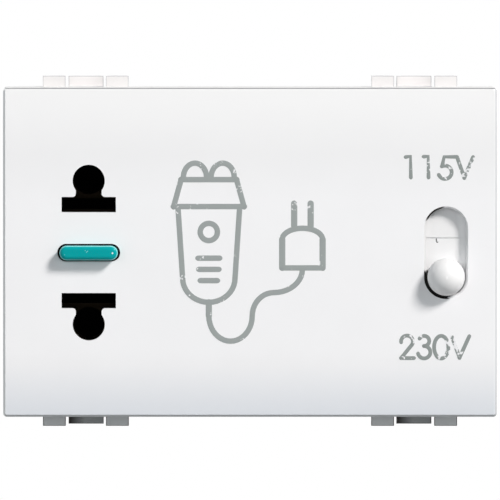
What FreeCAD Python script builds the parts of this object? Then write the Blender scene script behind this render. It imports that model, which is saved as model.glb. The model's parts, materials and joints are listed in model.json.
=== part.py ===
import FreeCAD, Part
import os
import re
from math import atan2, hypot

import Sketcher

# Shaver socket, three modules wide, with a plug-operated switch and a 115/230 volt selector.
# Millimetres. X runs to the right of the face, Y into the wall, Z up.
# The origin is the middle of the plane in which the support frame's front meets the outer stops.

SIZES = {
    # Face and its shell
    "module_pitch": 22.0,
    "face_height": 44.0,
    "face_depth": 9.0,
    "flat_half": 13.7,
    "roll_radius": 35.0,
    "corner_round": 0.5,
    "edge_break": 0.3,
    "cover_wall": 1.2,
    "skirt_wall": 1.6,
    # Keyhole entries
    "socket_offset": 21.55,
    "pin_spacing": 19.2,
    "pin_hole": 4.3,
    "blade_spacing": 12.84,
    "blade_slot_width": 7.25,
    "blade_slot_rise": 2.05,
    "neck_width": 3.45,
    "neck_flare": 0.45,
    "pin_reach": 20.0,
    # Plunger between the keyholes
    "pill_length": 7.8,
    "pill_rise": 1.95,
    "pill_round": 0.6,
    "pill_end_gap": 0.3,
    "pill_side_gap": 0.21,
    "pill_proud": 1.9,
    "shoulder_grow": 0.75,
    "shoulder_wall": 1.5,
    "stem_width": 5.0,
    "stem_rise": 1.5,
    "stub_radius": 0.9,
    # Selector
    "selector_x": 26.2,
    "selector_slot_width": 5.4,
    "selector_slot_rise": 11.9,
    "slot_break": 0.25,
    "knob_radius": 2.5,
    "knob_proud": 3.0,
    "knob_neck_gap": 0.3,
    "slide_half_width": 3.6,
    "slide_overlap": 0.2,
    "slide_wall": 0.8,
    "slide_line_height": 5.18,
    "slide_line_width": 0.12,
    "slide_line_depth": 0.15,
    "slide_stem_width": 1.3,
    "slide_stem_rise": 2.4,
    "rail_wall": 0.9,
    "selector_base_wall": 1.8,
    "selector_tail": 3.0,
    "selector_boss_offset": 3.0,
    "wiper_half_width": 2.4,
    "fixed_near": 0.8,
    "fixed_far": 2.2,
    # Stops, tongues and hooks at the top and bottom edges
    "stop_width": 3.05,
    "stop_proud": 1.45,
    "stop_depth": 2.2,
    "stop_foot": 0.1,
    "hook_width": 4.7,
    "hook_proud": 1.35,
    "hook_gap": 0.35,
    "hook_land": 0.8,
    "tongue_length": 6.5,
    "tongue_wall": 1.2,
    "slit_depth": 5.0,
    "tongue_room": 1.6,
    "tongue_side_gap": 0.5,
    "frame_wall": 2.0,
    # Screws
    "screw_inset": 4.4,
    "screw_radius": 1.0,
    "screw_head_radius": 1.9,
    "screw_head_wall": 1.3,
    "screw_grip": 5.0,
    "boss_wall": 1.2,
    "recess_width": 0.5,
    "recess_depth": 0.7,
    # Contact carrier and its lid
    "well_gap": 0.15,
    "carrier_half_width": 6.65,
    "carrier_half_rise": 13.2,
    "carrier_lip": 2.2,
    "ear_half_width": 3.2,
    "ear_wall": 2.0,
    "ear_reach": 3.6,
    "peg_radius": 0.8,
    "peg_inset": 1.25,
    "peg_reach": 0.5,
    "lid_wall": 1.6,
    "lid_arm_wall": 1.0,
    "lid_lip": 0.7,
    # Pin contacts
    "sheet": 0.5,
    "fork_drop": 0.03,
    "contact_set_back": 8.0,
    "contact_length": 9.0,
    "sleeve_bore": 2.05,
    "sleeve_slit": 1.0,
    "fork_half_width": 3.5,
    "fork_gap": 1.45,
    "tail_half_width": 1.5,
    "tail_reach": 3.5,
    # Interlock switch
    "strip": 0.6,
    "strip_half_rise": 1.5,
    "strip_room": 0.7,
    "switch_tail": 2.5,
    "bridge_half_width": 5.0,
    "bridge_set_back": 2.4,
    "switch_margin": 0.1,
    "interlock_half_rise": 5.0,
    "interlock_floor": 6.0,
    "spring_radius": 1.3,
    "spring_wire": 0.35,
    "spring_turns": 4.0,
    "spring_well": 5.0,
    # Housing
    "flange_inset": 0.4,
    "flange_wall": 2.5,
    "rim_wall": 1.2,
    "rim_rise": 1.5,
    "rim_half_length": 17.0,
    "housing_depth": 41.0,
    "housing_wall": 1.6,
    "housing_side_inset": 2.2,
    "housing_edge_inset": 3.0,
    "housing_break": 1.0,
    # Transformer
    "core_x": 4.0,
    "coil_build": 6.4,
    "core_room": 0.55,
    "core_stack": 16.0,
    "bobbin_wall": 0.8,
    "coil_round": 3.0,
    "clamp_wall": 0.8,
    "clamp_reach": 30.0,
    "cutout_width": 1.6,
    "cutout_length": 10.0,
    "cutout_rise": 5.5,
    # Terminals
    "terminal_x": -17.3,
    "terminal_pitch": 7.0,
    "terminal_width": 5.6,
    "terminal_rise": 5.8,
    "terminal_length": 6.0,
    "wire_bore": 1.6,
    "terminal_screw_radius": 1.25,
    "terminal_head_radius": 2.1,
    "terminal_wall": 0.7,
    "terminal_front_wall": 0.9,
    "terminal_head_wall": 1.4,
    "terminal_head_room": 1.9,
    "terminal_slot_half": 0.4,
    # Insulated leads
    "lead_radius": 0.65,
    "lead_bend": 1.5,
    "lead_level": 6.85,
    "common_reach": 1.7,
    "tap_near": 14.0,
    "tap_far": 22.0,
    "tap_rise": 3.0,
    "switched_reach": 2.0,
    # Clearances
    "seat_gap": 0.1,
    "screw_gap": 0.15,
    "part_gap": 0.2,
    "head_gap": 0.3,
}

document = FreeCAD.newDocument("ShaverSocket")
sheet = document.addObject("Spreadsheet::Sheet", "Sizes")
for row, (name, number) in enumerate(SIZES.items(), start=1):
    sheet.set("A%d" % row, name)
    sheet.set("B%d" % row, str(number))
    sheet.setAlias("B%d" % row, name)
document.recompute()

BODIES = []


def bound(text):
    """The expression with every size read from the sheet."""
    return re.sub(r"[a-z_]+", lambda word: "Sizes." + word[0] if word[0] in SIZES else word[0], text)


def value(text):
    return float(sheet.evalExpression(bound(text)))


# Places that several pieces share, as expressions of the sizes
HALF_WIDTH = "(1.5 * module_pitch)"
HALF_HEIGHT = "(face_height / 2)"
BEHIND = "(cover_wall - face_depth)"
RIM = "(-stop_foot)"
IN_WALL = "(0.75 * cover_wall - face_depth)"
SKIRT_X = "(1.5 * module_pitch - skirt_wall)"
SKIRT_Z = "(face_height / 2 - skirt_wall)"
SOCKET_X = "(-socket_offset)"
PIN_Z = "(pin_spacing / 2)"
BLADE_Z = "(blade_spacing / 2)"
CORNER_X = "(1.5 * module_pitch - screw_inset)"
CORNER_Z = "(face_height / 2 - screw_inset)"
BOSS_RADIUS = "(screw_radius + boss_wall)"
BODY_X = "(1.5 * module_pitch - housing_side_inset)"
BODY_Z = "(face_height / 2 - housing_edge_inset)"
REAR_WALL = "(housing_depth - housing_wall)"

# Carrier, lid and interlock, front to back
CARRIER_BACK = "(pin_reach - face_depth)"
LIP_BACK = "(%s + carrier_lip)" % BEHIND
LID_BACK = "(%s + lid_wall)" % CARRIER_BACK
EAR_FRONT = "(-ear_wall)"
EAR_Z = "(carrier_half_rise + screw_head_radius + seat_gap)"
BRIDGE_FRONT = "(%s + bridge_set_back)" % LID_BACK
BRIDGE_BACK = "(%s + strip)" % BRIDGE_FRONT
SWITCH_FRONT = "(%s + pill_proud + switch_margin)" % BRIDGE_BACK
SWITCH_SEAT = "(%s + strip)" % SWITCH_FRONT
INTERLOCK_BACK = "(%s + interlock_floor)" % SWITCH_SEAT
SPRING_END = "(%s + spring_well)" % SWITCH_SEAT
SWITCH_TAIL = "(%s + switch_tail)" % INTERLOCK_BACK

# Pin contact
CONTACT_FRONT = "(contact_set_back - face_depth)"
CONTACT_BACK = "(%s + contact_length)" % CONTACT_FRONT
SLEEVE_RADIUS = "(sleeve_bore + sheet)"
FORK_TOP = "(%s - sleeve_bore - fork_drop)" % PIN_Z
FORK_SEAT = "(%s - sheet)" % FORK_TOP
FORK_FLOOR = "(%s - fork_gap)" % FORK_SEAT
FORK_BOTTOM = "(%s - sheet)" % FORK_FLOOR

# Selector, front to back
KNOB_Z = "(selector_slot_width / 2 - selector_slot_rise / 2)"
SELECTOR_TRAVEL = "(selector_slot_rise - selector_slot_width)"
PLATE_FRONT = "(%s + seat_gap)" % BEHIND
PLATE_BACK = "(%s + slide_wall)" % PLATE_FRONT
GUIDE_FRONT = "(%s + seat_gap)" % PLATE_BACK
GUIDE_HALF = "(slide_half_width + seat_gap + rail_wall)"
SLIDE_HALF = "(selector_slot_rise / 2 + %s / 2 + slide_overlap)" % SELECTOR_TRAVEL
GUIDE_RISE = "(%s + %s / 2 + part_gap + rail_wall)" % (SLIDE_HALF, SELECTOR_TRAVEL)
BASE_BACK = "(%s - seat_gap - screw_head_wall)" % RIM
BASE_FRONT = "(%s - selector_base_wall)" % BASE_BACK
FIXED_FRONT = "(%s - strip)" % BASE_FRONT
WIPER_BACK = "(%s - switch_margin)" % FIXED_FRONT
BRIDGE_SEAT = "(%s - strip)" % WIPER_BACK
GUIDE_BACK = "((%s + %s) / 2)" % (GUIDE_FRONT, BRIDGE_SEAT)
BASE_TAIL = "(%s + selector_tail)" % BASE_BACK
SELECTOR_BOSS = ("(selector_x - selector_boss_offset)", "(%s + part_gap + %s)" % (GUIDE_RISE, BOSS_RADIUS))

# Transformer: the laminations lie in the YZ plane and are stacked along X
LEG_Y = "((%s - part_gap - clamp_wall) / 6)" % REAR_WALL
LEG_Z = "((%s - housing_wall - core_room - clamp_wall - seat_gap / 2) / 2.5)" % BODY_Z
CORE_Y = "(clamp_wall + 3 * %s)" % LEG_Y
CORE_Z = "(2.5 * %s)" % LEG_Z
WINDOW_Z = "(1.5 * %s)" % LEG_Z
STACK_HALF = "(core_stack / 2)"
TUBE_Y = "(%s + seat_gap + bobbin_wall)" % LEG_Y
TUBE_X = "(core_stack / 2 + seat_gap + bobbin_wall)"
FLANGE_Y = "(2 * %s - part_gap)" % LEG_Y
FLANGE_X = "(core_stack / 2 + coil_build - 2 * part_gap)"
COIL_Y = "(2 * %s - 3 * part_gap)" % LEG_Y
COIL_X = "(core_stack / 2 + coil_build - 6 * part_gap)"

# Terminals stand against the housing's rear wall and floor
BLOCK_HALF = "(terminal_pitch / 2 + terminal_width / 2 + seat_gap + terminal_wall)"
BLOCK_BOTTOM = "(-%s + housing_wall + part_gap)" % BODY_Z
BLOCK_TOP = "(%s + 2 * terminal_wall + 2 * seat_gap + terminal_rise)" % BLOCK_BOTTOM
BLOCK_BACK = "(%s - part_gap)" % REAR_WALL
CLAMP_BACK = "(%s - terminal_head_room)" % BLOCK_BACK
CLAMP_FRONT = "(%s - terminal_length)" % CLAMP_BACK
BLOCK_FRONT = "(%s - seat_gap - terminal_wall)" % CLAMP_FRONT
CLAMP_BOTTOM = "(%s + terminal_wall + seat_gap)" % BLOCK_BOTTOM
CLAMP_TOP = "(%s + terminal_rise)" % CLAMP_BOTTOM
WIRE_Y = "(%s + wire_bore + terminal_front_wall)" % CLAMP_FRONT
TERMINAL_Z = "(%s + terminal_rise / 2)" % CLAMP_BOTTOM

# Leads: where they meet the clamps, the coils and the pin contacts
LEAD_Y = "((%s + wire_bore + %s) / 2)" % (WIRE_Y, CLAMP_BACK)
COIL_LEFT = "(core_x - %s)" % COIL_X
COIL_RIGHT = "(core_x + %s)" % COIL_X
COMMON_Y = "(-seat_gap / 2 - lead_radius - seat_gap)"


def line(start, end):
    return ("line", start, end)


def arc(start, end, centre, turn):
    """turn is 1 where the outline runs counter-clockwise round the centre, -1 where clockwise."""
    return ("arc", start, end, centre, turn)


def circle(x, y, radius):
    return [("circle", (x, y), radius)]


def polygon(*points):
    return [line(a, b) for a, b in zip(points, points[1:] + points[:1])]


def rectangle(x_low, x_high, y_low, y_high):
    return polygon((x_low, y_low), (x_high, y_low), (x_high, y_high), (x_low, y_high))


def block(x, half_x, y, half_y):
    """A rectangle about a centre."""
    return rectangle(x + "-" + half_x, x + "+" + half_x, y + "-" + half_y, y + "+" + half_y)


def rounded(x, half_x, y, half_y, radius):
    left, right = x + "-" + half_x, x + "+" + half_x
    low, high = y + "-" + half_y, y + "+" + half_y
    inner_left, inner_right = left + "+" + radius, right + "-" + radius
    inner_low, inner_high = low + "+" + radius, high + "-" + radius
    return [
        line((inner_left, low), (inner_right, low)),
        arc((inner_right, low), (right, inner_low), (inner_right, inner_low), 1),
        line((right, inner_low), (right, inner_high)),
        arc((right, inner_high), (inner_right, high), (inner_right, inner_high), 1),
        line((inner_right, high), (inner_left, high)),
        arc((inner_left, high), (left, inner_high), (inner_left, inner_high), 1),
        line((left, inner_high), (left, inner_low)),
        arc((left, inner_low), (inner_left, low), (inner_left, inner_low), 1),
    ]


def stadium(x, y, length, width, upright=False):
    """A slot outline with round ends, its length along the first axis or upright."""
    straight = "(" + length + "-" + width + ") / 2"
    side = width + " / 2"
    if upright:
        left, right = x + "-" + side, x + "+" + side
        low, high = y + "-" + straight, y + "+" + straight
        return [
            line((right, low), (right, high)),
            arc((right, high), (left, high), (x, high), 1),
            line((left, high), (left, low)),
            arc((left, low), (right, low), (x, low), 1),
        ]
    left, right = x + "-" + straight, x + "+" + straight
    low, high = y + "-" + side, y + "+" + side
    return [
        line((left, low), (right, low)),
        arc((right, low), (right, high), (right, y), 1),
        line((right, high), (left, high)),
        arc((left, high), (left, low), (left, y), 1),
    ]


def keyhole(side, grow="0"):
    """Pin hole, neck and blade slot; side is 1 for the upper entry and -1 for the lower one."""
    sign = "%d * " % side
    bar = "(blade_slot_width / 2 + %s)" % grow
    neck = "(neck_width / 2 + %s)" % grow
    pin = "(pin_hole / 2 + %s)" % grow
    bar_far = sign + "(%s - blade_slot_rise / 2 - %s)" % (BLADE_Z, grow)
    bar_near = sign + "(%s + blade_slot_rise / 2 + %s)" % (BLADE_Z, grow)
    flare_z = sign + "(%s + blade_slot_rise / 2 + %s + neck_flare)" % (BLADE_Z, grow)
    pin_low = sign + "(%s - sqrt(%s ^ 2 - %s ^ 2))" % (PIN_Z, pin, neck)
    pin_centre = (SOCKET_X, sign + PIN_Z)
    right, left = SOCKET_X + "+", SOCKET_X + "-"
    flare = "(%s + neck_flare)" % neck
    return [
        line((left + bar, bar_far), (right + bar, bar_far)),
        line((right + bar, bar_far), (right + bar, bar_near)),
        line((right + bar, bar_near), (right + flare, bar_near)),
        arc((right + flare, bar_near), (right + neck, flare_z), (right + flare, flare_z), -side),
        line((right + neck, flare_z), (right + neck, pin_low)),
        arc((right + neck, pin_low), (left + neck, pin_low), pin_centre, side),
        line((left + neck, pin_low), (left + neck, flare_z)),
        arc((left + neck, flare_z), (left + flare, bar_near), (left + flare, flare_z), -side),
        line((left + flare, bar_near), (left + bar, bar_near)),
        line((left + bar, bar_near), (left + bar, bar_far)),
    ]


def new_body(label):
    """One piece: its label names its file."""
    body = document.addObject("PartDesign::Body", label)
    body.Label = label
    if hasattr(body, "AllowCompound"):
        body.AllowCompound = True
    BODIES.append(body)
    return body


def pin_point(item, edge, end, point):
    for kind, text in zip(("DistanceX", "DistanceY"), point):
        index = item.addConstraint(Sketcher.Constraint(kind, -1, 1, edge, end, value(text)))
        item.setExpression("Constraints[%d]" % index, bound(text))


def pin_centre(item, edge, start, end, centre):
    """One coordinate settles an arc's centre, because its two ends are settled already."""
    wide = abs(value(end[0]) - value(start[0])) > abs(value(end[1]) - value(start[1]))
    kind, text = ("DistanceY", centre[1]) if wide else ("DistanceX", centre[0])
    index = item.addConstraint(Sketcher.Constraint(kind, -1, 1, edge, 3, value(text)))
    item.setExpression("Constraints[%d]" % index, bound(text))


def draw_loop(item, loop, closed=True):
    """Add one outline; the sketch holds each corner by its two coordinates."""
    if loop[0][0] == "circle":
        centre, radius = loop[0][1:]
        place = FreeCAD.Vector(value(centre[0]), value(centre[1]), 0)
        edge = item.addGeometry(Part.Circle(place, FreeCAD.Vector(0, 0, 1), value(radius)), False)
        pin_point(item, edge, 3, centre)
        index = item.addConstraint(Sketcher.Constraint("Radius", edge, value(radius)))
        item.setExpression("Constraints[%d]" % index, bound(radius))
        return
    joints = []
    for piece in loop:
        start, end = [FreeCAD.Vector(value(x), value(y), 0) for x, y in piece[1:3]]
        if piece[0] == "line":
            edge = item.addGeometry(Part.LineSegment(start, end), False)
            joints.append((edge, 1, 2))
            continue
        middle = FreeCAD.Vector(value(piece[3][0]), value(piece[3][1]), 0)
        radius = hypot(start.x - middle.x, start.y - middle.y)
        first, last = (start, end) if piece[4] > 0 else (end, start)
        whole = Part.Circle(middle, FreeCAD.Vector(0, 0, 1), radius)
        angles = [atan2(point.y - middle.y, point.x - middle.x) for point in (first, last)]
        edge = item.addGeometry(Part.ArcOfCircle(whole, *angles), False)
        joints.append((edge, 1, 2) if piece[4] > 0 else (edge, 2, 1))
    for number, (edge, start, end) in enumerate(joints):
        pin_point(item, edge, start, loop[number][1])
        if closed or number + 1 < len(joints):
            following = joints[(number + 1) % len(joints)]
            item.addConstraint(Sketcher.Constraint("Coincident", edge, end, following[0], following[1]))
        else:
            pin_point(item, edge, end, loop[number][2])
    for (edge, start, end), piece in zip(joints, loop):
        if piece[0] == "arc":
            pin_centre(item, edge, piece[1], piece[2], piece[3])


def draw(body, plane, level, loops, rise="0", closed=True):
    """Sketch outlines on one of the body's own planes, moved to a level along its axis."""
    item = body.newObject("Sketcher::SketchObject", "Outline")
    item.AttachmentSupport = [(next(o for o in body.Origin.OriginFeatures if o.Role == plane), "")]
    item.MapMode = "FlatFace"
    sign = "-1 * " if plane == "XZ_Plane" else "1 * "
    item.setExpression("AttachmentOffset.Base.z", bound(sign + "(" + level + ")"))
    item.setExpression("AttachmentOffset.Base.y", bound(rise))
    for loop in loops:
        draw_loop(item, loop, closed)
    return item


def extrude(body, kind, plane, loops, start, end):
    """Pad or Pocket from start to end along the plane's axis, towards its higher side."""
    item = body.newObject("PartDesign::" + kind, kind)
    item.Profile = draw(body, plane, start, loops)
    item.setExpression("Length", bound("(" + end + ") - (" + start + ")"))
    item.Reversed = (plane == "XZ_Plane") == (kind == "Pad")
    document.recompute()
    return item


def pad(body, plane, loops, start, end):
    return extrude(body, "Pad", plane, loops, start, end)


def pocket(body, plane, loops, start, end):
    before = body.Shape.Volume
    item = extrude(body, "Pocket", plane, loops, start, end)
    if not body.Shape.Volume < before - 1e-6:
        raise ValueError("a pocket of %s cuts nothing" % body.Label)
    return item


def fillet(body, radius, chosen):
    """Round the edges of the body's present shape that the test chooses."""
    base = body.Tip
    names = ["Edge%d" % n for n, edge in enumerate(base.Shape.Edges, start=1) if chosen(edge)]
    item = body.newObject("PartDesign::Fillet", "Fillet")
    item.Base = (base, names)
    item.setExpression("Radius", bound(radius))
    document.recompute()
    return item


def chamfer(body, size, chosen):
    """Break the edges of the body's present shape that the test chooses."""
    base = body.Tip
    names = ["Edge%d" % n for n, edge in enumerate(base.Shape.Edges, start=1) if chosen(edge)]
    item = body.newObject("PartDesign::Chamfer", "Chamfer")
    item.Base = (base, names)
    item.setExpression("Size", bound(size))
    document.recompute()
    return item


def level_edge(edge, axis, place):
    """True for an edge that lies wholly at one place along an axis."""
    box = edge.BoundBox
    low, high = {"x": (box.XMin, box.XMax), "y": (box.YMin, box.YMax), "z": (box.ZMin, box.ZMax)}[axis]
    return abs(low - place) < 1e-3 and abs(high - place) < 1e-3


def runs_along(edge, axis):
    box = edge.BoundBox
    spans = {"x": box.XLength, "y": box.YLength, "z": box.ZLength}
    return spans.pop(axis) > 0.1 and max(spans.values()) < 1e-3


XZ, YZ, XY = "XZ_Plane", "YZ_Plane", "XY_Plane"
SIDES = (1, -1)


def corners(x, z):
    return [("%d * %s" % (a, x), "%d * %s" % (b, z)) for a in SIDES for b in SIDES]


def rolled_profile(half, inset):
    """The face seen from the side: flat in the middle, rolled back to its upper and lower edges."""
    radius = "(roll_radius - %s)" % inset
    centre_y = "(roll_radius - face_depth)"
    edge_y = "(%s - sqrt(%s ^ 2 - (%s - flat_half) ^ 2))" % (centre_y, radius, half)
    front = "(%s - face_depth)" % inset
    return [
        line((RIM, "-" + half), (RIM, half)),
        line((RIM, half), (edge_y, half)),
        arc((edge_y, half), (front, "flat_half"), (centre_y, "flat_half"), 1),
        line((front, "flat_half"), (front, "-flat_half")),
        arc((front, "-flat_half"), (edge_y, "-" + half), (centre_y, "-flat_half"), 1),
        line((edge_y, "-" + half), (RIM, "-" + half)),
    ]


def add_stops_and_tongues(body):
    """Four groups: an outer stop each side of a sprung tongue whose hook grips behind the frame."""
    for side_x in SIDES:
        middle = "%d * module_pitch" % side_x
        for side_z in SIDES:
            sign = "%d * " % side_z
            edge = sign + HALF_HEIGHT
            crest = edge + "+" + sign + "stop_proud"
            foot = edge + "-" + sign + "(flange_inset - seat_gap)"
            stops = []
            feet = []
            for side in SIDES:
                near = middle + "+ %d * (hook_width / 2 + hook_gap)" % side
                far = near + "+ %d * stop_width" % side
                stops.append(rectangle(near, far, sign + SKIRT_Z, crest))
                feet.append(rectangle(near, far, foot, crest))
            pad(body, XZ, stops, "-stop_depth", RIM)
            pad(body, XZ, feet, RIM, "0")
            tongue = rectangle(middle + "- hook_width / 2", middle + "+ hook_width / 2",
                               edge + "-" + sign + "tongue_wall", edge)
            pad(body, XZ, [tongue], "-stop_depth", "tongue_length")
            catch = "(frame_wall + seat_gap)"
            root = edge + "-" + sign + "tongue_wall / 2"
            tip = edge + "+" + sign + "hook_proud"
            hook = polygon((catch, root), (catch, tip), (catch + "+ hook_land", tip),
                           ("tongue_length", edge + "+" + sign + "0.1"), ("tongue_length", root))
            pad(body, YZ, [hook], middle + "- hook_width / 2", middle + "+ hook_width / 2")
        slits = []
        for side in SIDES:
            near = middle + "+ %d * hook_width / 2" % side
            far = near + "+ %d * hook_gap" % side
            slits += [rectangle(near, far, "%d * %s" % (z, SKIRT_Z), "%d * (%s + 0.1)" % (z, HALF_HEIGHT))
                      for z in SIDES]
        pocket(body, XZ, slits, "-slit_depth", "0")


def make_front_cover():
    """One moulding: rolled face, skirt, bosses and ribs behind, stops and hooks at its edges."""
    body = new_body("front_cover")
    pad(body, YZ, [rolled_profile(HALF_HEIGHT, "0")], "-" + HALF_WIDTH, HALF_WIDTH)
    fillet(body, "corner_round", lambda edge: runs_along(edge, "y"))
    top = value(HALF_HEIGHT)
    near_face = value("flange_wall - face_depth")

    def face_rim(edge):
        if runs_along(edge, "x"):
            return abs(abs(edge.BoundBox.ZMax) - top) < 1e-3 and edge.BoundBox.YMax < near_face
        return edge.BoundBox.YMax < near_face and not runs_along(edge, "y")

    chamfer(body, "edge_break", face_rim)
    pocket(body, YZ, [rolled_profile(SKIRT_Z, "cover_wall")], "-" + SKIRT_X, SKIRT_X)
    pad(body, XZ, [circle(x, z, BOSS_RADIUS) for x, z in corners(CORNER_X, CORNER_Z)], IN_WALL, RIM)
    carrier_bosses = [(SOCKET_X, "%d * %s" % (side, EAR_Z)) for side in SIDES]
    pad(body, XZ, [circle(x, z, BOSS_RADIUS) for x, z in carrier_bosses], IN_WALL, EAR_FRONT)
    selector_bosses = selector_screw_places()
    pad(body, XZ, [circle(x, z, BOSS_RADIUS) for x, z in selector_bosses], IN_WALL, BASE_FRONT)
    ribs = [block("core_x + %d * core_stack / 4" % side, "skirt_wall / 2", "0", "0.75 * " + CORE_Z)
            for side in SIDES]
    pad(body, XZ, ribs, IN_WALL, "-seat_gap")
    notch = block("core_x", "core_stack / 2", "lead_level", "(lead_radius + part_gap)")
    pocket(body, XZ, [notch], COMMON_Y + "- lead_radius - part_gap", "-seat_gap")
    pilot = "(screw_radius + seat_gap / 2)"
    for places, back in ((corners(CORNER_X, CORNER_Z), RIM), (carrier_bosses, EAR_FRONT),
                         (selector_bosses, BASE_FRONT)):
        deep = "%s - screw_grip" % back if back == RIM else BEHIND
        pocket(body, XZ, [circle(x, z, pilot) for x, z in places], deep, back)
    add_stops_and_tongues(body)
    pill = stadium(SOCKET_X, "0", "(pill_length + 2 * pill_end_gap)", "(pill_rise + 2 * pill_side_gap)")
    pocket(body, XZ, [keyhole(1), keyhole(-1), pill], "-face_depth - 1", BEHIND + "+ 0.1")
    slot = stadium("selector_x", "0", "selector_slot_rise", "selector_slot_width", upright=True)
    pocket(body, XZ, [slot], "-face_depth - 1", BEHIND + "+ 0.1")
    front = -value("face_depth")
    near_slot = value("selector_x - selector_slot_rise")

    def slot_rim(edge):
        box = edge.BoundBox
        inside = box.XMin > near_slot and max(abs(box.ZMin), abs(box.ZMax)) < value("selector_slot_rise")
        return level_edge(edge, "y", front) and inside and box.XMax < value(SKIRT_X)

    chamfer(body, "slot_break", slot_rim)


def selector_screw_places():
    return [(SELECTOR_BOSS[0], "%d * %s" % (side, SELECTOR_BOSS[1])) for side in SIDES]


def notched(grow):
    """The deep box's outline, with its corners cut away so that the screws can be reached."""
    notch_x = "(%s - screw_head_radius - head_gap - %s)" % (CORNER_X, grow)
    notch_z = "(%s - screw_head_radius - head_gap - %s)" % (CORNER_Z, grow)
    x, z = "(%s - %s)" % (BODY_X, grow), "(%s - %s)" % (BODY_Z, grow)
    quarter = [(x, notch_z), (notch_x, notch_z), (notch_x, z)]
    points = quarter
    points = points + [("-" + a, b) for a, b in reversed(quarter)]
    points = points + [("-" + a, "-" + b) for a, b in quarter]
    points = points + [(a, "-" + b) for a, b in reversed(quarter)]
    return polygon(*points)


def terminal_places():
    return ["terminal_x + %d * terminal_pitch / 2" % side for side in SIDES]


def make_rear_housing():
    """The deep box behind the face, closed by its own rear wall, with a flange for the skirt."""
    body = new_body("rear_housing")
    flange = block("0", "(%s - flange_inset)" % HALF_WIDTH, "0", "(%s - flange_inset)" % HALF_HEIGHT)
    pad(body, XZ, [flange], RIM, "flange_wall")
    pad(body, XZ, [notched("0")], RIM, "housing_depth")
    chamfer(body, "housing_break", lambda edge: level_edge(edge, "y", value("housing_depth")))
    pocket(body, XZ, [notched("housing_wall")], RIM, REAR_WALL)
    rim_z = "(%s - seat_gap - rim_wall / 2)" % SKIRT_Z
    rims = [block("0", "rim_half_length", "%d * %s" % (z, rim_z), "rim_wall / 2") for z in SIDES]
    pad(body, XZ, rims, "-rim_rise", "flange_wall / 2")
    tongue_low = "(%s - tongue_wall - tongue_room)" % HALF_HEIGHT
    half_way = "(hook_width / 2 + tongue_side_gap)"
    ways = [rectangle("%d * module_pitch - %s" % (x, half_way), "%d * module_pitch + %s" % (x, half_way),
                      "%d * %s" % (z, tongue_low), "%d * (%s + 1)" % (z, HALF_HEIGHT))
            for x in SIDES for z in SIDES]
    pocket(body, XZ, ways, RIM, "flange_wall")
    holes = [circle(x, z, "(screw_radius + screw_gap)") for x, z in corners(CORNER_X, CORNER_Z)]
    pocket(body, XZ, holes, RIM, "flange_wall")
    access = [circle(x, TERMINAL_Z, "(terminal_head_radius + head_gap)") for x in terminal_places()]
    pocket(body, XZ, access, REAR_WALL, "housing_depth + 1")
    entries = [circle(x, WIRE_Y, "(wire_bore + 2 * part_gap)") for x in terminal_places()]
    pocket(body, XY, entries, "-%s - 1" % BODY_Z, "-%s + housing_wall" % BODY_Z)
    rails = [rectangle("core_x + %d * (%s + part_gap)" % (x, STACK_HALF),
                       "core_x + %d * (%s + part_gap + housing_wall)" % (x, STACK_HALF),
                       "-" + WINDOW_Z, WINDOW_Z) for x in SIDES]
    pad(body, XZ, rails, "%s + 2 * %s + 1" % (CORE_Y, LEG_Y), "%s + housing_wall / 2" % REAR_WALL)


def cross(x, z):
    """The four-armed outline of a cross recess."""
    arm, half = "0.62 * screw_head_radius", "recess_width / 2"
    reach = ((arm, half), (half, half), (half, arm))
    points = [(x + "+" + a, z + "+" + b) for a, b in reach]
    points += [(x + "-" + a, z + "+" + b) for a, b in reversed(reach)]
    points += [(x + "-" + a, z + "-" + b) for a, b in reach]
    points += [(x + "+" + a, z + "-" + b) for a, b in reversed(reach)]
    return polygon(*points)


def make_screws(label, places, seat):
    """Pan-head screws driven from behind, their heads seated at one level."""
    body = new_body(label)
    head_back = seat + "+ screw_head_wall"
    pad(body, XZ, [circle(x, z, "screw_radius") for x, z in places], seat + "- screw_grip", seat)
    pad(body, XZ, [circle(x, z, "screw_head_radius") for x, z in places], seat, head_back)
    chamfer(body, "0.4 * screw_head_wall", lambda edge: level_edge(edge, "y", value(head_back)))
    pocket(body, XZ, [cross(x, z) for x, z in places], head_back + "- recess_depth", head_back)


def peg_places():
    reach = "(carrier_half_width - peg_inset)"
    return [(SOCKET_X + "+ %d * %s" % (x, reach), "%d * %s" % (z, PIN_Z)) for x in SIDES for z in SIDES]


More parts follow.
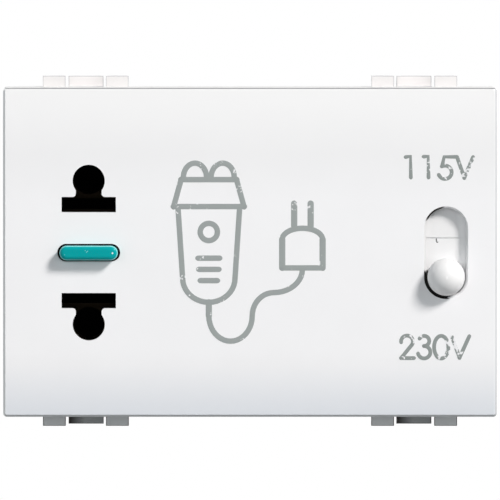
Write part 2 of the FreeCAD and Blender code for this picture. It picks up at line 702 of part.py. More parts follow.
def make_contact_carrier():
    """Black moulding with a well behind each keyhole and a channel for the plunger."""
    body = new_body("contact_carrier")
    pad(body, XZ, [block(SOCKET_X, "carrier_half_width", "0", "carrier_half_rise")], BEHIND, CARRIER_BACK)
    ears = [rectangle(SOCKET_X + "- ear_half_width", SOCKET_X + "+ ear_half_width",
                      "%d * (carrier_half_rise - 1)" % z, "%d * (carrier_half_rise + ear_reach)" % z)
            for z in SIDES]
    pad(body, XZ, ears, EAR_FRONT, "0")
    pegs = [circle(x, z, "peg_radius") for x, z in peg_places()]
    pad(body, XZ, pegs, CARRIER_BACK + "- peg_reach", LID_BACK + "+ peg_reach")
    pocket(body, XZ, [keyhole(1, "well_gap"), keyhole(-1, "well_gap")], BEHIND, LIP_BACK)
    cavities = [rectangle(SOCKET_X + "- (fork_half_width + sheet + part_gap)",
                          SOCKET_X + "+ (fork_half_width + sheet + part_gap)",
                          "%d * (%s - part_gap)" % (z, FORK_BOTTOM),
                          "%d * (%s + %s + part_gap)" % (z, PIN_Z, SLEEVE_RADIUS)) for z in SIDES]
    pocket(body, XZ, cavities, LIP_BACK, CARRIER_BACK)
    recess = stadium(SOCKET_X, "0", "(pill_length + 2 * shoulder_grow + 2 * pill_end_gap)",
                     "(pill_rise + 2 * shoulder_grow + 2 * pill_side_gap)")
    pocket(body, XZ, [recess], BEHIND, "%s + seat_gap + shoulder_wall + pill_proud + part_gap" % BEHIND)
    channel = block(SOCKET_X, "(stem_width / 2 + part_gap)", "0", "(stem_rise / 2 + part_gap)")
    pocket(body, XZ, [channel], BEHIND, CARRIER_BACK)
    ear_places = [(SOCKET_X, "%d * %s" % (z, EAR_Z)) for z in SIDES]
    relief = "(%s + part_gap)" % BOSS_RADIUS
    pocket(body, XZ, [circle(x, z, relief) for x, z in ear_places], BEHIND, EAR_FRONT)
    pocket(body, XZ, [circle(x, z, "(screw_radius + screw_gap)") for x, z in ear_places], EAR_FRONT, "0")


def make_carrier_lid():
    """Plate that closes the wells; its two arms hook over the back of the interlock base."""
    body = new_body("carrier_lid")
    pad(body, XZ, [block(SOCKET_X, "carrier_half_width", "0", "carrier_half_rise")], CARRIER_BACK, LID_BACK)
    low = "(interlock_half_rise + seat_gap / 2)"
    high = "(%s + lid_arm_wall)" % low
    arm_back = "(%s + seat_gap + lid_arm_wall)" % INTERLOCK_BACK
    arms = [rectangle(SOCKET_X + "- ear_half_width", SOCKET_X + "+ ear_half_width",
                      "%d * %s" % (z, low), "%d * %s" % (z, high)) for z in SIDES]
    pad(body, XZ, arms, LID_BACK, arm_back)
    lips = [rectangle(SOCKET_X + "- ear_half_width", SOCKET_X + "+ ear_half_width",
                      "%d * (%s - lid_lip)" % (z, low), "%d * %s" % (z, high)) for z in SIDES]
    pad(body, XZ, lips, INTERLOCK_BACK + "+ seat_gap", arm_back)
    stem = block(SOCKET_X, "(stem_width / 2 + part_gap)", "0", "(stem_rise / 2 + part_gap)")
    left, right = SOCKET_X + "- (tail_half_width + part_gap)", SOCKET_X + "+ (tail_half_width + part_gap)"
    near, far = "(%s - part_gap)" % FORK_SEAT, "(%s + part_gap)" % FORK_TOP
    tails = [rectangle(left, right, "%d * %s" % (z, near), "%d * %s" % (z, far)) for z in SIDES]
    pegs = [circle(x, z, "(peg_radius + seat_gap / 2)") for x, z in peg_places()]
    pocket(body, XZ, [stem] + tails + pegs, CARRIER_BACK, LID_BACK)


def make_pin_contact(label):
    """Brass sleeve for the round pin, joined to a fork for the flat blade, with a tail behind."""
    body = new_body(label)
    pad(body, XZ, [circle(SOCKET_X, PIN_Z, SLEEVE_RADIUS)], CONTACT_FRONT, CONTACT_BACK)
    pad(body, XZ, [rectangle(SOCKET_X + "- fork_half_width", SOCKET_X + "+ fork_half_width + sheet",
                             FORK_BOTTOM, FORK_TOP)], CONTACT_FRONT, CONTACT_BACK)
    pocket(body, XZ, [rectangle(SOCKET_X + "- fork_half_width - 1", SOCKET_X + "+ fork_half_width",
                                FORK_FLOOR, FORK_SEAT)], CONTACT_FRONT, CONTACT_BACK)
    slit = rectangle(SOCKET_X + "- sleeve_slit / 2", SOCKET_X + "+ sleeve_slit / 2",
                     PIN_Z, "%s + %s + 1" % (PIN_Z, SLEEVE_RADIUS))
    pocket(body, XZ, [slit], CONTACT_FRONT, CONTACT_BACK)
    tail = rectangle(SOCKET_X + "- tail_half_width", SOCKET_X + "+ tail_half_width", FORK_SEAT, FORK_TOP)
    pad(body, XZ, [tail], CONTACT_BACK + "- 1", LID_BACK + "+ tail_reach")
    pocket(body, XZ, [circle(SOCKET_X, PIN_Z, "sleeve_bore")], CONTACT_FRONT, CONTACT_BACK)
    return body


def make_plunger():
    """Teal bar that stands proud of the face, with a shoulder behind the face and a long stem."""
    body = new_body("interlock_plunger")
    front = "(-face_depth - pill_proud)"
    shoulder_front = "(%s + seat_gap)" % BEHIND
    shoulder_back = "(%s + shoulder_wall)" % shoulder_front
    pad(body, XZ, [stadium(SOCKET_X, "0", "pill_length", "pill_rise")], front, shoulder_back)
    fillet(body, "pill_round", lambda edge: level_edge(edge, "y", value(front)))
    pad(body, XZ, [stadium(SOCKET_X, "0", "(pill_length + 2 * shoulder_grow)",
                           "(pill_rise + 2 * shoulder_grow)")], shoulder_front, shoulder_back)
    pad(body, XZ, [block(SOCKET_X, "stem_width / 2", "0", "stem_rise / 2")], shoulder_back, BRIDGE_FRONT)
    pad(body, XZ, [circle(SOCKET_X, "0", "stub_radius")], BRIDGE_FRONT + "- 1", BRIDGE_BACK + "+ 1.5")


def make_plunger_spring():
    """Return spring between the bridge strip and the floor of the base's well."""
    body = new_body("plunger_spring")
    front = "(%s + spring_wire / 2)" % BRIDGE_BACK
    item = body.newObject("PartDesign::AdditiveHelix", "Coil")
    side, half = "spring_wire / 4", "0.433 * spring_wire"
    section = polygon(*[(front + a, "spring_radius" + b) for a, b in (
        ("+ spring_wire / 2", "+ 0 * spring_wire"), ("+" + side, "+" + half), ("-" + side, "+" + half),
        ("- spring_wire / 2", "+ 0 * spring_wire"), ("-" + side, "-" + half), ("+" + side, "-" + half))])
    item.Profile = draw(body, YZ, "0", [section])
    item.ReferenceAxis = (next(o for o in body.Origin.OriginFeatures if o.Role == "Y_Axis"), [""])
    item.Mode = "height-turns-growth"
    item.setExpression("Height", bound("%s - %s - spring_wire" % (SPRING_END, BRIDGE_BACK)))
    item.setExpression("Turns", bound("spring_turns"))
    body.setExpression("Placement.Base.x", bound(SOCKET_X))
    document.recompute()


def make_interlock():
    """Bridge strip on the plunger's end, two fixed strips and the base that carries them."""
    bridge = new_body("interlock_bridge")
    pad(bridge, XZ, [block(SOCKET_X, "bridge_half_width", "0", "strip_half_rise"),
                     circle(SOCKET_X, "0", "(stub_radius + seat_gap / 2)")], BRIDGE_FRONT, BRIDGE_BACK)
    tails = []
    for label, side in (("switch_contact_feed", -1), ("switch_contact_load", 1)):
        outer = SOCKET_X + "+ %d * (bridge_half_width + part_gap)" % side
        inner = SOCKET_X + "+ %d * (bridge_half_width / 2)" % side
        heel = outer + "- %d * strip" % side
        contact = new_body(label)
        pad(contact, XZ, [rectangle(inner, outer, "-strip_half_rise", "strip_half_rise")],
            SWITCH_FRONT, SWITCH_SEAT)
        pad(contact, XZ, [rectangle(heel, outer, "-strip_half_rise", "strip_half_rise")],
            SWITCH_FRONT, SWITCH_TAIL)
        tails.append(rectangle(heel + "- %d * seat_gap" % side, outer + "+ %d * seat_gap" % side,
                               "-strip_half_rise - seat_gap", "strip_half_rise + seat_gap"))
    base = new_body("interlock_base")
    outline = block(SOCKET_X, "carrier_half_width", "0", "interlock_half_rise")
    pad(base, XZ, [outline], LID_BACK, INTERLOCK_BACK)
    way = block(SOCKET_X, "(bridge_half_width + 2 * part_gap)", "0", "(strip_half_rise + strip_room)")
    pocket(base, XZ, [way], LID_BACK, SWITCH_SEAT)
    pocket(base, XZ, tails, SWITCH_SEAT, INTERLOCK_BACK)
    pocket(base, XZ, [circle(SOCKET_X, "0", "(spring_radius + spring_wire / 2 + part_gap)")],
           SWITCH_SEAT, SPRING_END)


def make_selector_slider():
    """White domed knob on a long thin plate that keeps the slot closed, with a stem for the wiper."""
    body = new_body("selector_slider")
    crest = "(-face_depth - knob_proud)"
    shoulder = "(%s + knob_radius)" % crest
    foot = "(-face_depth - seat_gap)"
    dome = [
        line((crest, "0"), (PLATE_BACK, "0")),
        line((PLATE_BACK, "0"), (PLATE_BACK, "selector_slot_width / 2 - knob_neck_gap")),
        line((PLATE_BACK, "selector_slot_width / 2 - knob_neck_gap"),
             (foot, "selector_slot_width / 2 - knob_neck_gap")),
        line((foot, "selector_slot_width / 2 - knob_neck_gap"), (foot, "knob_radius")),
        line((foot, "knob_radius"), (shoulder, "knob_radius")),
        arc((shoulder, "knob_radius"), (crest, "0"), (shoulder, "0"), 1),
    ]
    outline = draw(body, YZ, "selector_x", [dome], rise=KNOB_Z)
    item = body.newObject("PartDesign::Revolution", "Knob")
    item.Profile = outline
    item.ReferenceAxis = (outline, ["H_Axis"])
    item.Angle = 360
    document.recompute()
    pad(body, XZ, [block("selector_x", "slide_half_width", KNOB_Z, SLIDE_HALF)], PLATE_FRONT, PLATE_BACK)
    line_z = "%s + slide_line_height" % KNOB_Z
    witness = block("selector_x", "slide_half_width", line_z, "slide_line_width / 2")
    pocket(body, XZ, [witness], PLATE_FRONT, PLATE_FRONT + "+ slide_line_depth")
    pad(body, XZ, [block("selector_x", "slide_stem_width / 2", KNOB_Z, "slide_stem_rise / 2")],
        PLATE_BACK, BRIDGE_SEAT)
    pad(body, XZ, [block("selector_x", "slide_stem_width / 4", KNOB_Z, "slide_stem_rise / 4")],
        BRIDGE_SEAT, WIPER_BACK)


def make_selector_guide():
    """Frame in which the plate slides, clamped between the face and the selector's base."""
    body = new_body("selector_guide")
    pad(body, XZ, [block("selector_x", GUIDE_HALF, "0", GUIDE_RISE)], BEHIND, BASE_FRONT)
    inner = "(slide_half_width + seat_gap)"
    clear = "(%s - rail_wall)" % GUIDE_RISE
    pocket(body, XZ, [block("selector_x", inner, "0", clear)], BEHIND, GUIDE_FRONT)
    pocket(body, XZ, [block("selector_x", inner, "0", clear)], GUIDE_BACK, BASE_FRONT)
    stem = block("selector_x", "(slide_stem_width / 2 + part_gap)", "0",
                 "(slide_stem_rise / 2 + part_gap + %s / 2)" % SELECTOR_TRAVEL)
    pocket(body, XZ, [stem], GUIDE_FRONT, GUIDE_BACK)


def make_selector_switch():
    """Wiper on the slider's stem, three fixed strips and the base plate that carries them."""
    wiper = new_body("selector_bridge")
    pad(wiper, XZ, [block("selector_x", "wiper_half_width", KNOB_Z, "strip_half_rise"),
                    block("selector_x", "(slide_stem_width / 4 + seat_gap / 2)", KNOB_Z,
                          "(slide_stem_rise / 4 + seat_gap / 2)")], BRIDGE_SEAT, WIPER_BACK)
    reach = "(strip_half_rise + strip_room)"
    ends = {1: ("(-%s - %s)" % (KNOB_Z, reach), "(-%s + %s)" % (KNOB_Z, reach)),
            -1: ("(%s - %s)" % (KNOB_Z, reach), "(%s + %s)" % (KNOB_Z, reach))}
    tails = []
    strips = (
        ("selector_contact_115", 1, ends[1][0], ends[1][1], True),
        ("selector_contact_230", 1, ends[-1][0], ends[-1][1], False),
        ("selector_contact_common", -1, ends[-1][0], ends[1][1] + "+ common_reach", True),
    )
    for label, side, low, high, at_top in strips:
        near = "selector_x + %d * fixed_near" % side
        far = "selector_x + %d * fixed_far" % side
        heel_low, heel_high = (high + "- strip", high) if at_top else (low, low + "+ strip")
        contact = new_body(label)
        pad(contact, XZ, [rectangle(near, far, low, high)], FIXED_FRONT, BASE_FRONT)
        pad(contact, XZ, [rectangle(near, far, heel_low, heel_high)], FIXED_FRONT, BASE_TAIL)
        tails.append(rectangle(near + "- %d * seat_gap" % side, far + "+ %d * seat_gap" % side,
                               heel_low + "- seat_gap", heel_high + "+ seat_gap"))
    base = new_body("selector_base")
    ear_top = "(%s + %s)" % (SELECTOR_BOSS[1], BOSS_RADIUS)
    ear_right = "(%s + %s)" % (SELECTOR_BOSS[0], BOSS_RADIUS)
    left, right = "(selector_x - %s)" % GUIDE_HALF, "(selector_x + %s)" % GUIDE_HALF
    half = [(right, GUIDE_RISE), (ear_right, GUIDE_RISE), (ear_right, ear_top), (left, ear_top)]
    plate = polygon(*(half + [(a, "-" + b) for a, b in reversed(half)]))
    pad(base, XZ, [plate], BASE_FRONT, BASE_BACK)
    holes = [circle(x, z, "(screw_radius + screw_gap)") for x, z in selector_screw_places()]
    pocket(base, XZ, tails + holes, BASE_FRONT, BASE_BACK)


def make_core():
    """E and I laminations of one transformer size, stacked along X."""
    low, high = "core_x - " + STACK_HALF, "core_x + " + STACK_HALF
    back = "(%s + 3 * %s)" % (CORE_Y, LEG_Y)
    e_stack = new_body("core_e_stack")
    pad(e_stack, YZ, [rectangle("clamp_wall", back, "-" + CORE_Z, WINDOW_Z)], low, high)
    windows = [rectangle("%s + %d * %s" % (CORE_Y, side, LEG_Y), "%s + %d * 2 * %s" % (CORE_Y, side, LEG_Y),
                         "-" + WINDOW_Z, "%s + 1" % WINDOW_Z) for side in SIDES]
    pocket(e_stack, YZ, windows, low, high)
    i_stack = new_body("core_i_stack")
    pad(i_stack, YZ, [rectangle("clamp_wall", back, WINDOW_Z, CORE_Z)], low, high)


def make_bobbin():
    """Two-chamber former: one tube with three flanges."""
    body = new_body("bobbin")
    end = "(%s - seat_gap)" % WINDOW_Z
    pad(body, XY, [block("core_x", TUBE_X, CORE_Y, TUBE_Y)], "-" + end, end)
    flange = block("core_x", FLANGE_X, CORE_Y, FLANGE_Y)
    pad(body, XY, [flange], "-" + end, "-%s + bobbin_wall" % end)
    pad(body, XY, [flange], "-bobbin_wall / 2", "bobbin_wall / 2")
    pad(body, XY, [flange], end + "- bobbin_wall", end)
    hole = block("core_x", "(%s + seat_gap)" % STACK_HALF, CORE_Y, "(%s + seat_gap)" % LEG_Y)
    pocket(body, XY, [hole], "-%s - 1" % end, end + "+ 1")


def make_coil(label, side):
    body = new_body(label)
    near = "(bobbin_wall / 2 + seat_gap)"
    far = "(%s - 2 * seat_gap - bobbin_wall)" % WINDOW_Z
    low, high = (near, far) if side > 0 else ("-" + far, "-" + near)
    outline = rounded("core_x", COIL_X, CORE_Y, COIL_Y, "coil_round")
    hole = block("core_x", "(%s + seat_gap / 2)" % TUBE_X, CORE_Y, "(%s + seat_gap / 2)" % TUBE_Y)
    pad(body, XY, [outline, hole], low, high)


def make_core_clamp():
    """Steel channel over the core's front, its arms along the top and the bottom."""
    body = new_body("core_clamp")
    outer = "(%s + seat_gap / 2 + clamp_wall)" % CORE_Z
    inner = "(%s + seat_gap / 2)" % CORE_Z
    profile = polygon(("0", "-" + outer), ("clamp_reach", "-" + outer), ("clamp_reach", "-" + inner),
                      ("clamp_wall", "-" + inner), ("clamp_wall", inner), ("clamp_reach", inner),
                      ("clamp_reach", outer), ("0", outer))
    half = "(%s - 0.5)" % STACK_HALF
    pad(body, YZ, [profile], "core_x - " + half, "core_x + " + half)


def make_thermal_cutout():
    """Flat cut-out lying against the primary between two flanges."""
    body = new_body("thermal_cutout")
    right = "(core_x - %s - part_gap)" % COIL_X
    z = "(-%s / 2)" % WINDOW_Z
    loop = block(right + "- cutout_width / 2", "cutout_width / 2", CORE_Y, "cutout_length / 2")
    pad(body, XY, [loop], z + "- cutout_rise / 2", z + "+ cutout_rise / 2")
    fillet(body, "cutout_width / 4", lambda edge: runs_along(edge, "z"))


def make_terminals():
    """Moulded block against the rear wall with two brass clamps and their screws."""
    body = new_body("terminal_block")
    outline = rectangle("terminal_x -" + BLOCK_HALF, "terminal_x +" + BLOCK_HALF, BLOCK_BOTTOM, BLOCK_TOP)
    pad(body, XZ, [outline], BLOCK_FRONT, BLOCK_BACK)
    pockets = [rectangle(x + "- terminal_width / 2 - seat_gap", x + "+ terminal_width / 2 + seat_gap",
                         CLAMP_BOTTOM + "- seat_gap", CLAMP_TOP + "+ seat_gap") for x in terminal_places()]
    pocket(body, XZ, pockets, CLAMP_FRONT + "- seat_gap", BLOCK_BACK)
    entries = [circle(x, WIRE_Y, "(wire_bore + head_gap)") for x in terminal_places()]
    pocket(body, XY, entries, BLOCK_BOTTOM + "- 1", CLAMP_BOTTOM)
    exits = [circle(x, LEAD_Y, "(lead_radius + seat_gap)") for x in terminal_places()]
    pocket(body, XY, exits, CLAMP_TOP, BLOCK_TOP + "+ 1")
    for label, x in zip(("terminal_neutral", "terminal_line"), terminal_places()):
        clamp = new_body(label)
        body_outline = block(x, "terminal_width / 2", TERMINAL_Z, "terminal_rise / 2")
        pad(clamp, XZ, [body_outline], CLAMP_FRONT, CLAMP_BACK)
        pocket(clamp, XY, [circle(x, WIRE_Y, "wire_bore")], CLAMP_BOTTOM, CLAMP_TOP)
        thread = circle(x, TERMINAL_Z, "(terminal_screw_radius + seat_gap / 2)")
        pocket(clamp, XZ, [thread], WIRE_Y, CLAMP_BACK)
    screws = new_body("terminal_screws")
    tip = "(%s + wire_bore + seat_gap)" % WIRE_Y
    seat = "(%s + seat_gap)" % CLAMP_BACK
    head_back = "(%s + terminal_head_wall)" % seat
    places = terminal_places()
    pad(screws, XZ, [circle(x, TERMINAL_Z, "terminal_screw_radius") for x in places], tip, seat)
    pad(screws, XZ, [circle(x, TERMINAL_Z, "terminal_head_radius") for x in places], seat, head_back)
    slots = [block(x, "terminal_slot_half", TERMINAL_Z, "(terminal_head_radius + 1)") for x in places]
    pocket(screws, XZ, slots, head_back + "- recess_depth", head_back)


def bent_run(points):
    """A path of runs along its plane's two axes, each corner rounded by the lead's bend."""
    def towards(corner, other):
        a, b = [value("(%s) - (%s)" % pair) for pair in zip(other, corner)]
        if abs(a) > abs(b):
            return ("(%s) + %d * lead_bend" % (corner[0], 1 if a > 0 else -1), corner[1])
        return (corner[0], "(%s) + %d * lead_bend" % (corner[1], 1 if b > 0 else -1))

    pieces = []
    start = points[0]
    for before, corner, after in zip(points, points[1:], points[2:]):
        leave, enter = towards(corner, before), towards(corner, after)
        along_first = leave[1] == corner[1]
        centre = (leave[0], enter[1]) if along_first else (enter[0], leave[1])
        in_a, in_b = [value("(%s) - (%s)" % pair) for pair in zip(corner, leave)]
        out_a, out_b = [value("(%s) - (%s)" % pair) for pair in zip(enter, corner)]
        pieces.append(line(start, leave))
        pieces.append(arc(leave, enter, centre, 1 if in_a * out_b - in_b * out_a > 0 else -1))
        start = enter
    pieces.append(line(start, points[-1]))
    return pieces


def make_lead(label, plane, points, place, axis=None, angle="0"):
    """Insulated wire along a bent path in one of its own planes, turned about an axis and placed."""
    body = new_body(label)
    first_a, first_b = [value("(%s) - (%s)" % pair) for pair in zip(points[1], points[0])]
    a, b = points[0]
    if abs(first_a) > abs(first_b):
        face, level, middle = YZ, a, (b, "0") if plane == XY else ("0", b)
    elif plane == XY:
        face, level, middle = XZ, b, (a, "0")
    else:
        face, level, middle = XY, b, (a, "0")
    section = draw(body, face, level, [circle(middle[0], middle[1], "lead_radius")])
    path = bent_run(points)
    spine = draw(body, plane, "0", [path], closed=False)
    item = body.newObject("PartDesign::AdditivePipe", "Run")
    item.Profile = section
    item.Spine = (spine, ["Edge%d" % n for n in range(1, len(path) + 1)])
    turn = FreeCAD.Rotation(FreeCAD.Vector(*(axis or (0, 0, 1))), value(angle))
    body.Placement = FreeCAD.Placement(FreeCAD.Vector(*[value(part) for part in place]), turn)
    for name, part in zip("xyz", place):
        body.setExpression("Placement.Base." + name, bound(part))
    document.recompute()


def make_leads():
    """Leads from the clamps to the switch and the coils, and on to the selector and the pin contacts."""
    neutral_x, line_x = terminal_places()
    clamp_end = CLAMP_TOP + "+ seat_gap"
    feed_x, load_x = ["(%s + %d * (bridge_half_width + part_gap - strip / 2))" % (SOCKET_X, side)
                      for side in (-1, 1)]
    left_end = "(%s - lead_radius - seat_gap)" % COIL_LEFT
    switch_y = "(%s + lead_radius)" % SWITCH_TAIL
    across, back = "(%s - (%s))" % (feed_x, line_x), "(%s - %s)" % (switch_y, LEAD_Y)
    length = "sqrt(%s ^ 2 + %s ^ 2)" % (across, back)
    make_lead("lead_line", XZ, [("0", clamp_end), ("0", "0"), (length, "0")],
              (line_x, LEAD_Y, "0"), (0, 0, 1), "atan2(%s; %s)" % (back, across))
    coil_y = "(%s + %s - coil_round - 1)" % (CORE_Y, COIL_Y)
    across, back = "(%s - (%s))" % (left_end, neutral_x), "(%s - %s)" % (coil_y, LEAD_Y)
    level = "(-0.75 * %s)" % WINDOW_Z
    make_lead("lead_neutral", XZ,
              [("0", clamp_end), ("0", level), ("sqrt(%s ^ 2 + %s ^ 2)" % (across, back), level)],
              (neutral_x, LEAD_Y, "0"), (0, 0, 1), "atan2(%s; %s)" % (back, across))
    cutout_x = "(%s - part_gap - cutout_width / 2)" % COIL_LEFT
    across, rise = "(%s - %s)" % (cutout_x, load_x), "(-%s / 2)" % WINDOW_Z
    tail, cutout_end = SWITCH_TAIL + "+ seat_gap", "(%s + cutout_length / 2 + seat_gap)" % CORE_Y
    far = "(max(%s; %s) + switched_reach)" % (SWITCH_TAIL, cutout_end)
    length = "sqrt(%s ^ 2 + %s ^ 2)" % (across, rise)
    make_lead("lead_switched", XY, [("0", tail), ("0", far), (length, far), (length, cutout_end)],
              (load_x, "0", "0"), (0, 1, 0), "-atan2(%s; %s)" % (rise, across))
    tail_x = "(selector_x + (fixed_near + fixed_far) / 2)"
    tail_z = "(-%s + strip_half_rise + strip_room - strip / 2)" % KNOB_Z
    start = BASE_TAIL + "+ seat_gap"
    make_lead("lead_115", XY,
              [("0", start), ("0", "tap_near"), ("%s + seat_gap - %s" % (COIL_RIGHT, tail_x), "tap_near")],
              (tail_x, "0", tail_z))
    across = "(%s + lead_radius + seat_gap - %s)" % (COIL_RIGHT, tail_x)
    rise = "(tap_rise + %s)" % tail_z
    make_lead("lead_230", XY,
              [("0", start), ("0", "tap_far"), ("sqrt(%s ^ 2 + %s ^ 2)" % (across, rise), "tap_far")],
              (tail_x, "0", "-" + tail_z), (0, 1, 0), "-atan2(%s; %s)" % (rise, across))
    end = "(%s + tail_reach + seat_gap + lead_radius)" % LID_BACK
    end_z = "(-(%s + %s) / 2)" % (FORK_SEAT, FORK_TOP)
    middle_x = "((%s + carrier_half_width + %s - part_gap - cutout_width) / 2)" % (SOCKET_X, COIL_LEFT)
    make_lead("lead_zero", XZ,
              [(SOCKET_X, end_z), (middle_x, end_z), (middle_x, "tap_rise"), (left_end, "tap_rise")],
              ("0", end, "0"))
    side_x = "(%s + carrier_half_width + 2 * part_gap + 2 * lead_radius)" % SOCKET_X
    make_lead("lead_common", XY,
              [("selector_x - fixed_far - seat_gap", COMMON_Y), (side_x, COMMON_Y), (side_x, end),
               (SOCKET_X, end)],
              ("0", "0", "lead_level"))


def turned_over(body):
    """The lower contact is the upper one turned half round about the plunger's axis."""
    body.setExpression("Placement.Base.x", bound("2 * " + SOCKET_X))
    body.Placement = FreeCAD.Placement(FreeCAD.Vector(value("2 * " + SOCKET_X), 0, 0),
                                       FreeCAD.Rotation(FreeCAD.Vector(0, 1, 0), 180))


def export():
    os.makedirs("parts", exist_ok=True)
    document.recompute()
    for item in document.Objects:
        if "Invalid" in item.State or "Error" in item.State:
            raise ValueError("%s of the document failed: %s" % (item.Label, item.State))
    for body in BODIES:
        if body.Shape.isNull() or not body.Shape.isValid() or not body.Shape.Solids:
            raise ValueError("%s has no valid solid" % body.Label)
    for body in BODIES:
        body.Shape.exportStep("parts/%s.step" % body.Label)


make_front_cover()
make_rear_housing()
make_screws("housing_screws", corners(CORNER_X, CORNER_Z), "flange_wall")
make_contact_carrier()
make_screws("carrier_screws", [(SOCKET_X, "%d * %s" % (z, EAR_Z)) for z in SIDES], "0")
make_carrier_lid()
make_pin_contact("upper_contact")
turned_over(make_pin_contact("lower_contact"))
make_plunger()
make_plunger_spring()
make_interlock()
make_selector_slider()
make_selector_guide()
make_selector_switch()
make_screws("selector_screws", selector_screw_places(), BASE_BACK)
make_core()
make_bobbin()
make_coil("primary_winding", -1)
make_coil("secondary_winding", 1)
make_core_clamp()
make_thermal_cutout()
make_terminals()
make_leads()
export()
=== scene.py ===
import json
import math

import bpy
from bpy.props import FloatProperty, FloatVectorProperty, PointerProperty
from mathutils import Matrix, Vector


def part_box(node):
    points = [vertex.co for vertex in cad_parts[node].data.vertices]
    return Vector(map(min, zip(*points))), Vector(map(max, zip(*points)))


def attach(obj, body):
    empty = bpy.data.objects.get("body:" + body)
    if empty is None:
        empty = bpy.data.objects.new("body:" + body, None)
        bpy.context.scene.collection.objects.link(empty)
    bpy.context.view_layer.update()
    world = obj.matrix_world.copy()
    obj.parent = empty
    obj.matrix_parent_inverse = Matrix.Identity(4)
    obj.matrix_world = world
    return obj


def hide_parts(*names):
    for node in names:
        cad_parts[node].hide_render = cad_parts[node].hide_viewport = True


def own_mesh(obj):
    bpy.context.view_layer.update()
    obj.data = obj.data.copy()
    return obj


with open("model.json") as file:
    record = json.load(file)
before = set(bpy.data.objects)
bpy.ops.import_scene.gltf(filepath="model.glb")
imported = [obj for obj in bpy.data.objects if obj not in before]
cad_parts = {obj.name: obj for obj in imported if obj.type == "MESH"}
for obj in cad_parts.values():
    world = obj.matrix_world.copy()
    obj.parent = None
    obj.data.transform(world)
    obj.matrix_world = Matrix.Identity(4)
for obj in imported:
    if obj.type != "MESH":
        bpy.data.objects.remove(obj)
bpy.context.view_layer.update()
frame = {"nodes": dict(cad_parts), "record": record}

bl_info = {
    "name": "Shaver socket finish",
    "version": (1, 0, 0),
    "blender": (4, 5, 0),
    "location": "3D View > Sidebar > Shaver socket",
    "description": "Prints the marks, gives every piece its finish and sets up the studio",
    "category": "Object",
}

MM = 0.001


def grey(level):
    """A grey, with the fourth part that colours have in Blender."""
    return (level, level, level, 1.0)


# The plane of the face, and how far the print's own zero lies above the model's, in metres
FACE_Y = -9.0 * MM
PRINT_RISE = 0.17 * MM

# What the camera and the lamp aim at, and what stands round it, in metres
TARGET = Vector((0.0, FACE_Y, 0.36 * MM))
FLOOR_Z = -60.0 * MM
FLOOR_SIDE = 3.0
KEY_DIRECTION = Vector((1.1, -1.0, 1.1))
KEY_DISTANCE = 3.6
KEY_SIZE = 0.88
KEY_COLOUR = (1.0, 0.965, 0.94)
CLIP_NEAR = 0.01
CLIP_FAR = 10.0
# The camera's sensor, in millimetres as its lens is
SENSOR_WIDTH = 36.0

# The even light: its colour where the direction's height is low, and where it is high
WORLD_LOW = (0.12, (0.93, 1.0, 1.03, 1.0))
WORLD_HIGH = (0.6, (0.046, 0.05, 0.053, 1.0))

# The floor's paper: its two tones, how the camera sees it, and where it fades into white
PAPER_TONES = (grey(0.20), grey(0.23))
PAPER_SEEN = grey(0.8)
PAPER_GLOW = 0.42
PAPER_FADE = (0.21, 0.13)

# Surface textures: scales per metre, and heights in metres
MOTTLE_SCALE = 140.0
GRAIN_SCALE = 9000.0
DRAWN_SCALE = 2500.0
SPECK_SCALE = 2200.0
PATCH_SCALE = 420.0
PAPER_SCALE = 60.0
BAND_DISTORTION = 0.4
GRAIN_DEPTH = 0.01 * MM
PLASTIC_IOR = 1.49
DRAWN_ALONG_Y = (1.0, 0.15, 1.0)

# The two voltage marks wear through earlier than the symbol does
MARK_WORN_FROM = 0.326
SYMBOL_WORN_FROM = 0.37
WORN_STEP = 0.03
WORN_COLOUR = (0.78, 0.78, 0.80, 1.0)

# Tones laid over a piece's colour, in its own coordinates in millimetres.
# A row has the axis, from, to, softness and colour; None leaves that side open.
# Painted shade on the face: its top darker, and its lower rolled edge darker and bluer
FACE_PAINTED_SHADE = (
    ("z", 15.0, None, 8.0, (0.785, 0.785, 0.79, 1.0)),
    ("z", None, -18.5, 3.5, (0.80, 0.83, 0.88, 1.0)),
)
# Painted shade as dark lines along the rim's top, bottom and right edges, and painted light on the
# left edge, which is made lighter
RIM_PAINTED_LIGHT_AND_SHADE = (
    ("z", 21.86, 21.985, 0.02, (0.25, 0.26, 0.27, 1.0)),
    ("z", None, -21.72, 0.03, (0.68, 0.70, 0.72, 1.0)),
    ("x", None, -32.7, 0.1, grey(0.98)),
    ("x", 32.75, 32.985, 0.04, (0.52, 0.53, 0.55, 1.0)),
)
RIM_BACK = -6.5
# Painted light on the plate's right strip, lightening the shadow of the slot's wall, and the plate
# darker towards its left side
PLATE_PAINTED_LIGHT_AND_SIDE_TONE = (
    ("x", 27.9, None, 0.35, grey(0.94)),
    ("x", None, 24.5, 0.6, (0.735, 0.735, 0.74, 1.0)),
)
# Painted shade over the plate sunk in the slot, darker than the rest of the white moulding it
# belongs to
PLATE_SHADE_COLOUR = (0.785, 0.785, 0.79, 1.0)
# Painted shade, near black, in the gaps at the slot's ends and round the knob's foot
GAP_SHADE_COLOUR = (0.01, 0.009, 0.008, 1.0)

# The lugs: how far their groups' middles lie from the face's, their edges off those middles,
# and the heights at which they leave the face and end
LUG_GROUP = 22.0
LUG_EDGES = ((2.24, 2.5), (2.5, 2.8), (5.65, 5.9))
LUG_FOOT = 22.03
LUG_CREST = 23.36
# In the middle of a group is a hook, with a stop on either side that stands further forward
HOOK_HALF = 2.5
HOOK_LOWER_BY = 0.1
HOOK_FRONT = 2.16
STOP_FRONT = -2.12
# Painted shade deepens on the lower hooks left of this point, over this softness
HOOK_SHADE_FROM = -1.1
HOOK_SHADE_SOFTNESS = 1.0
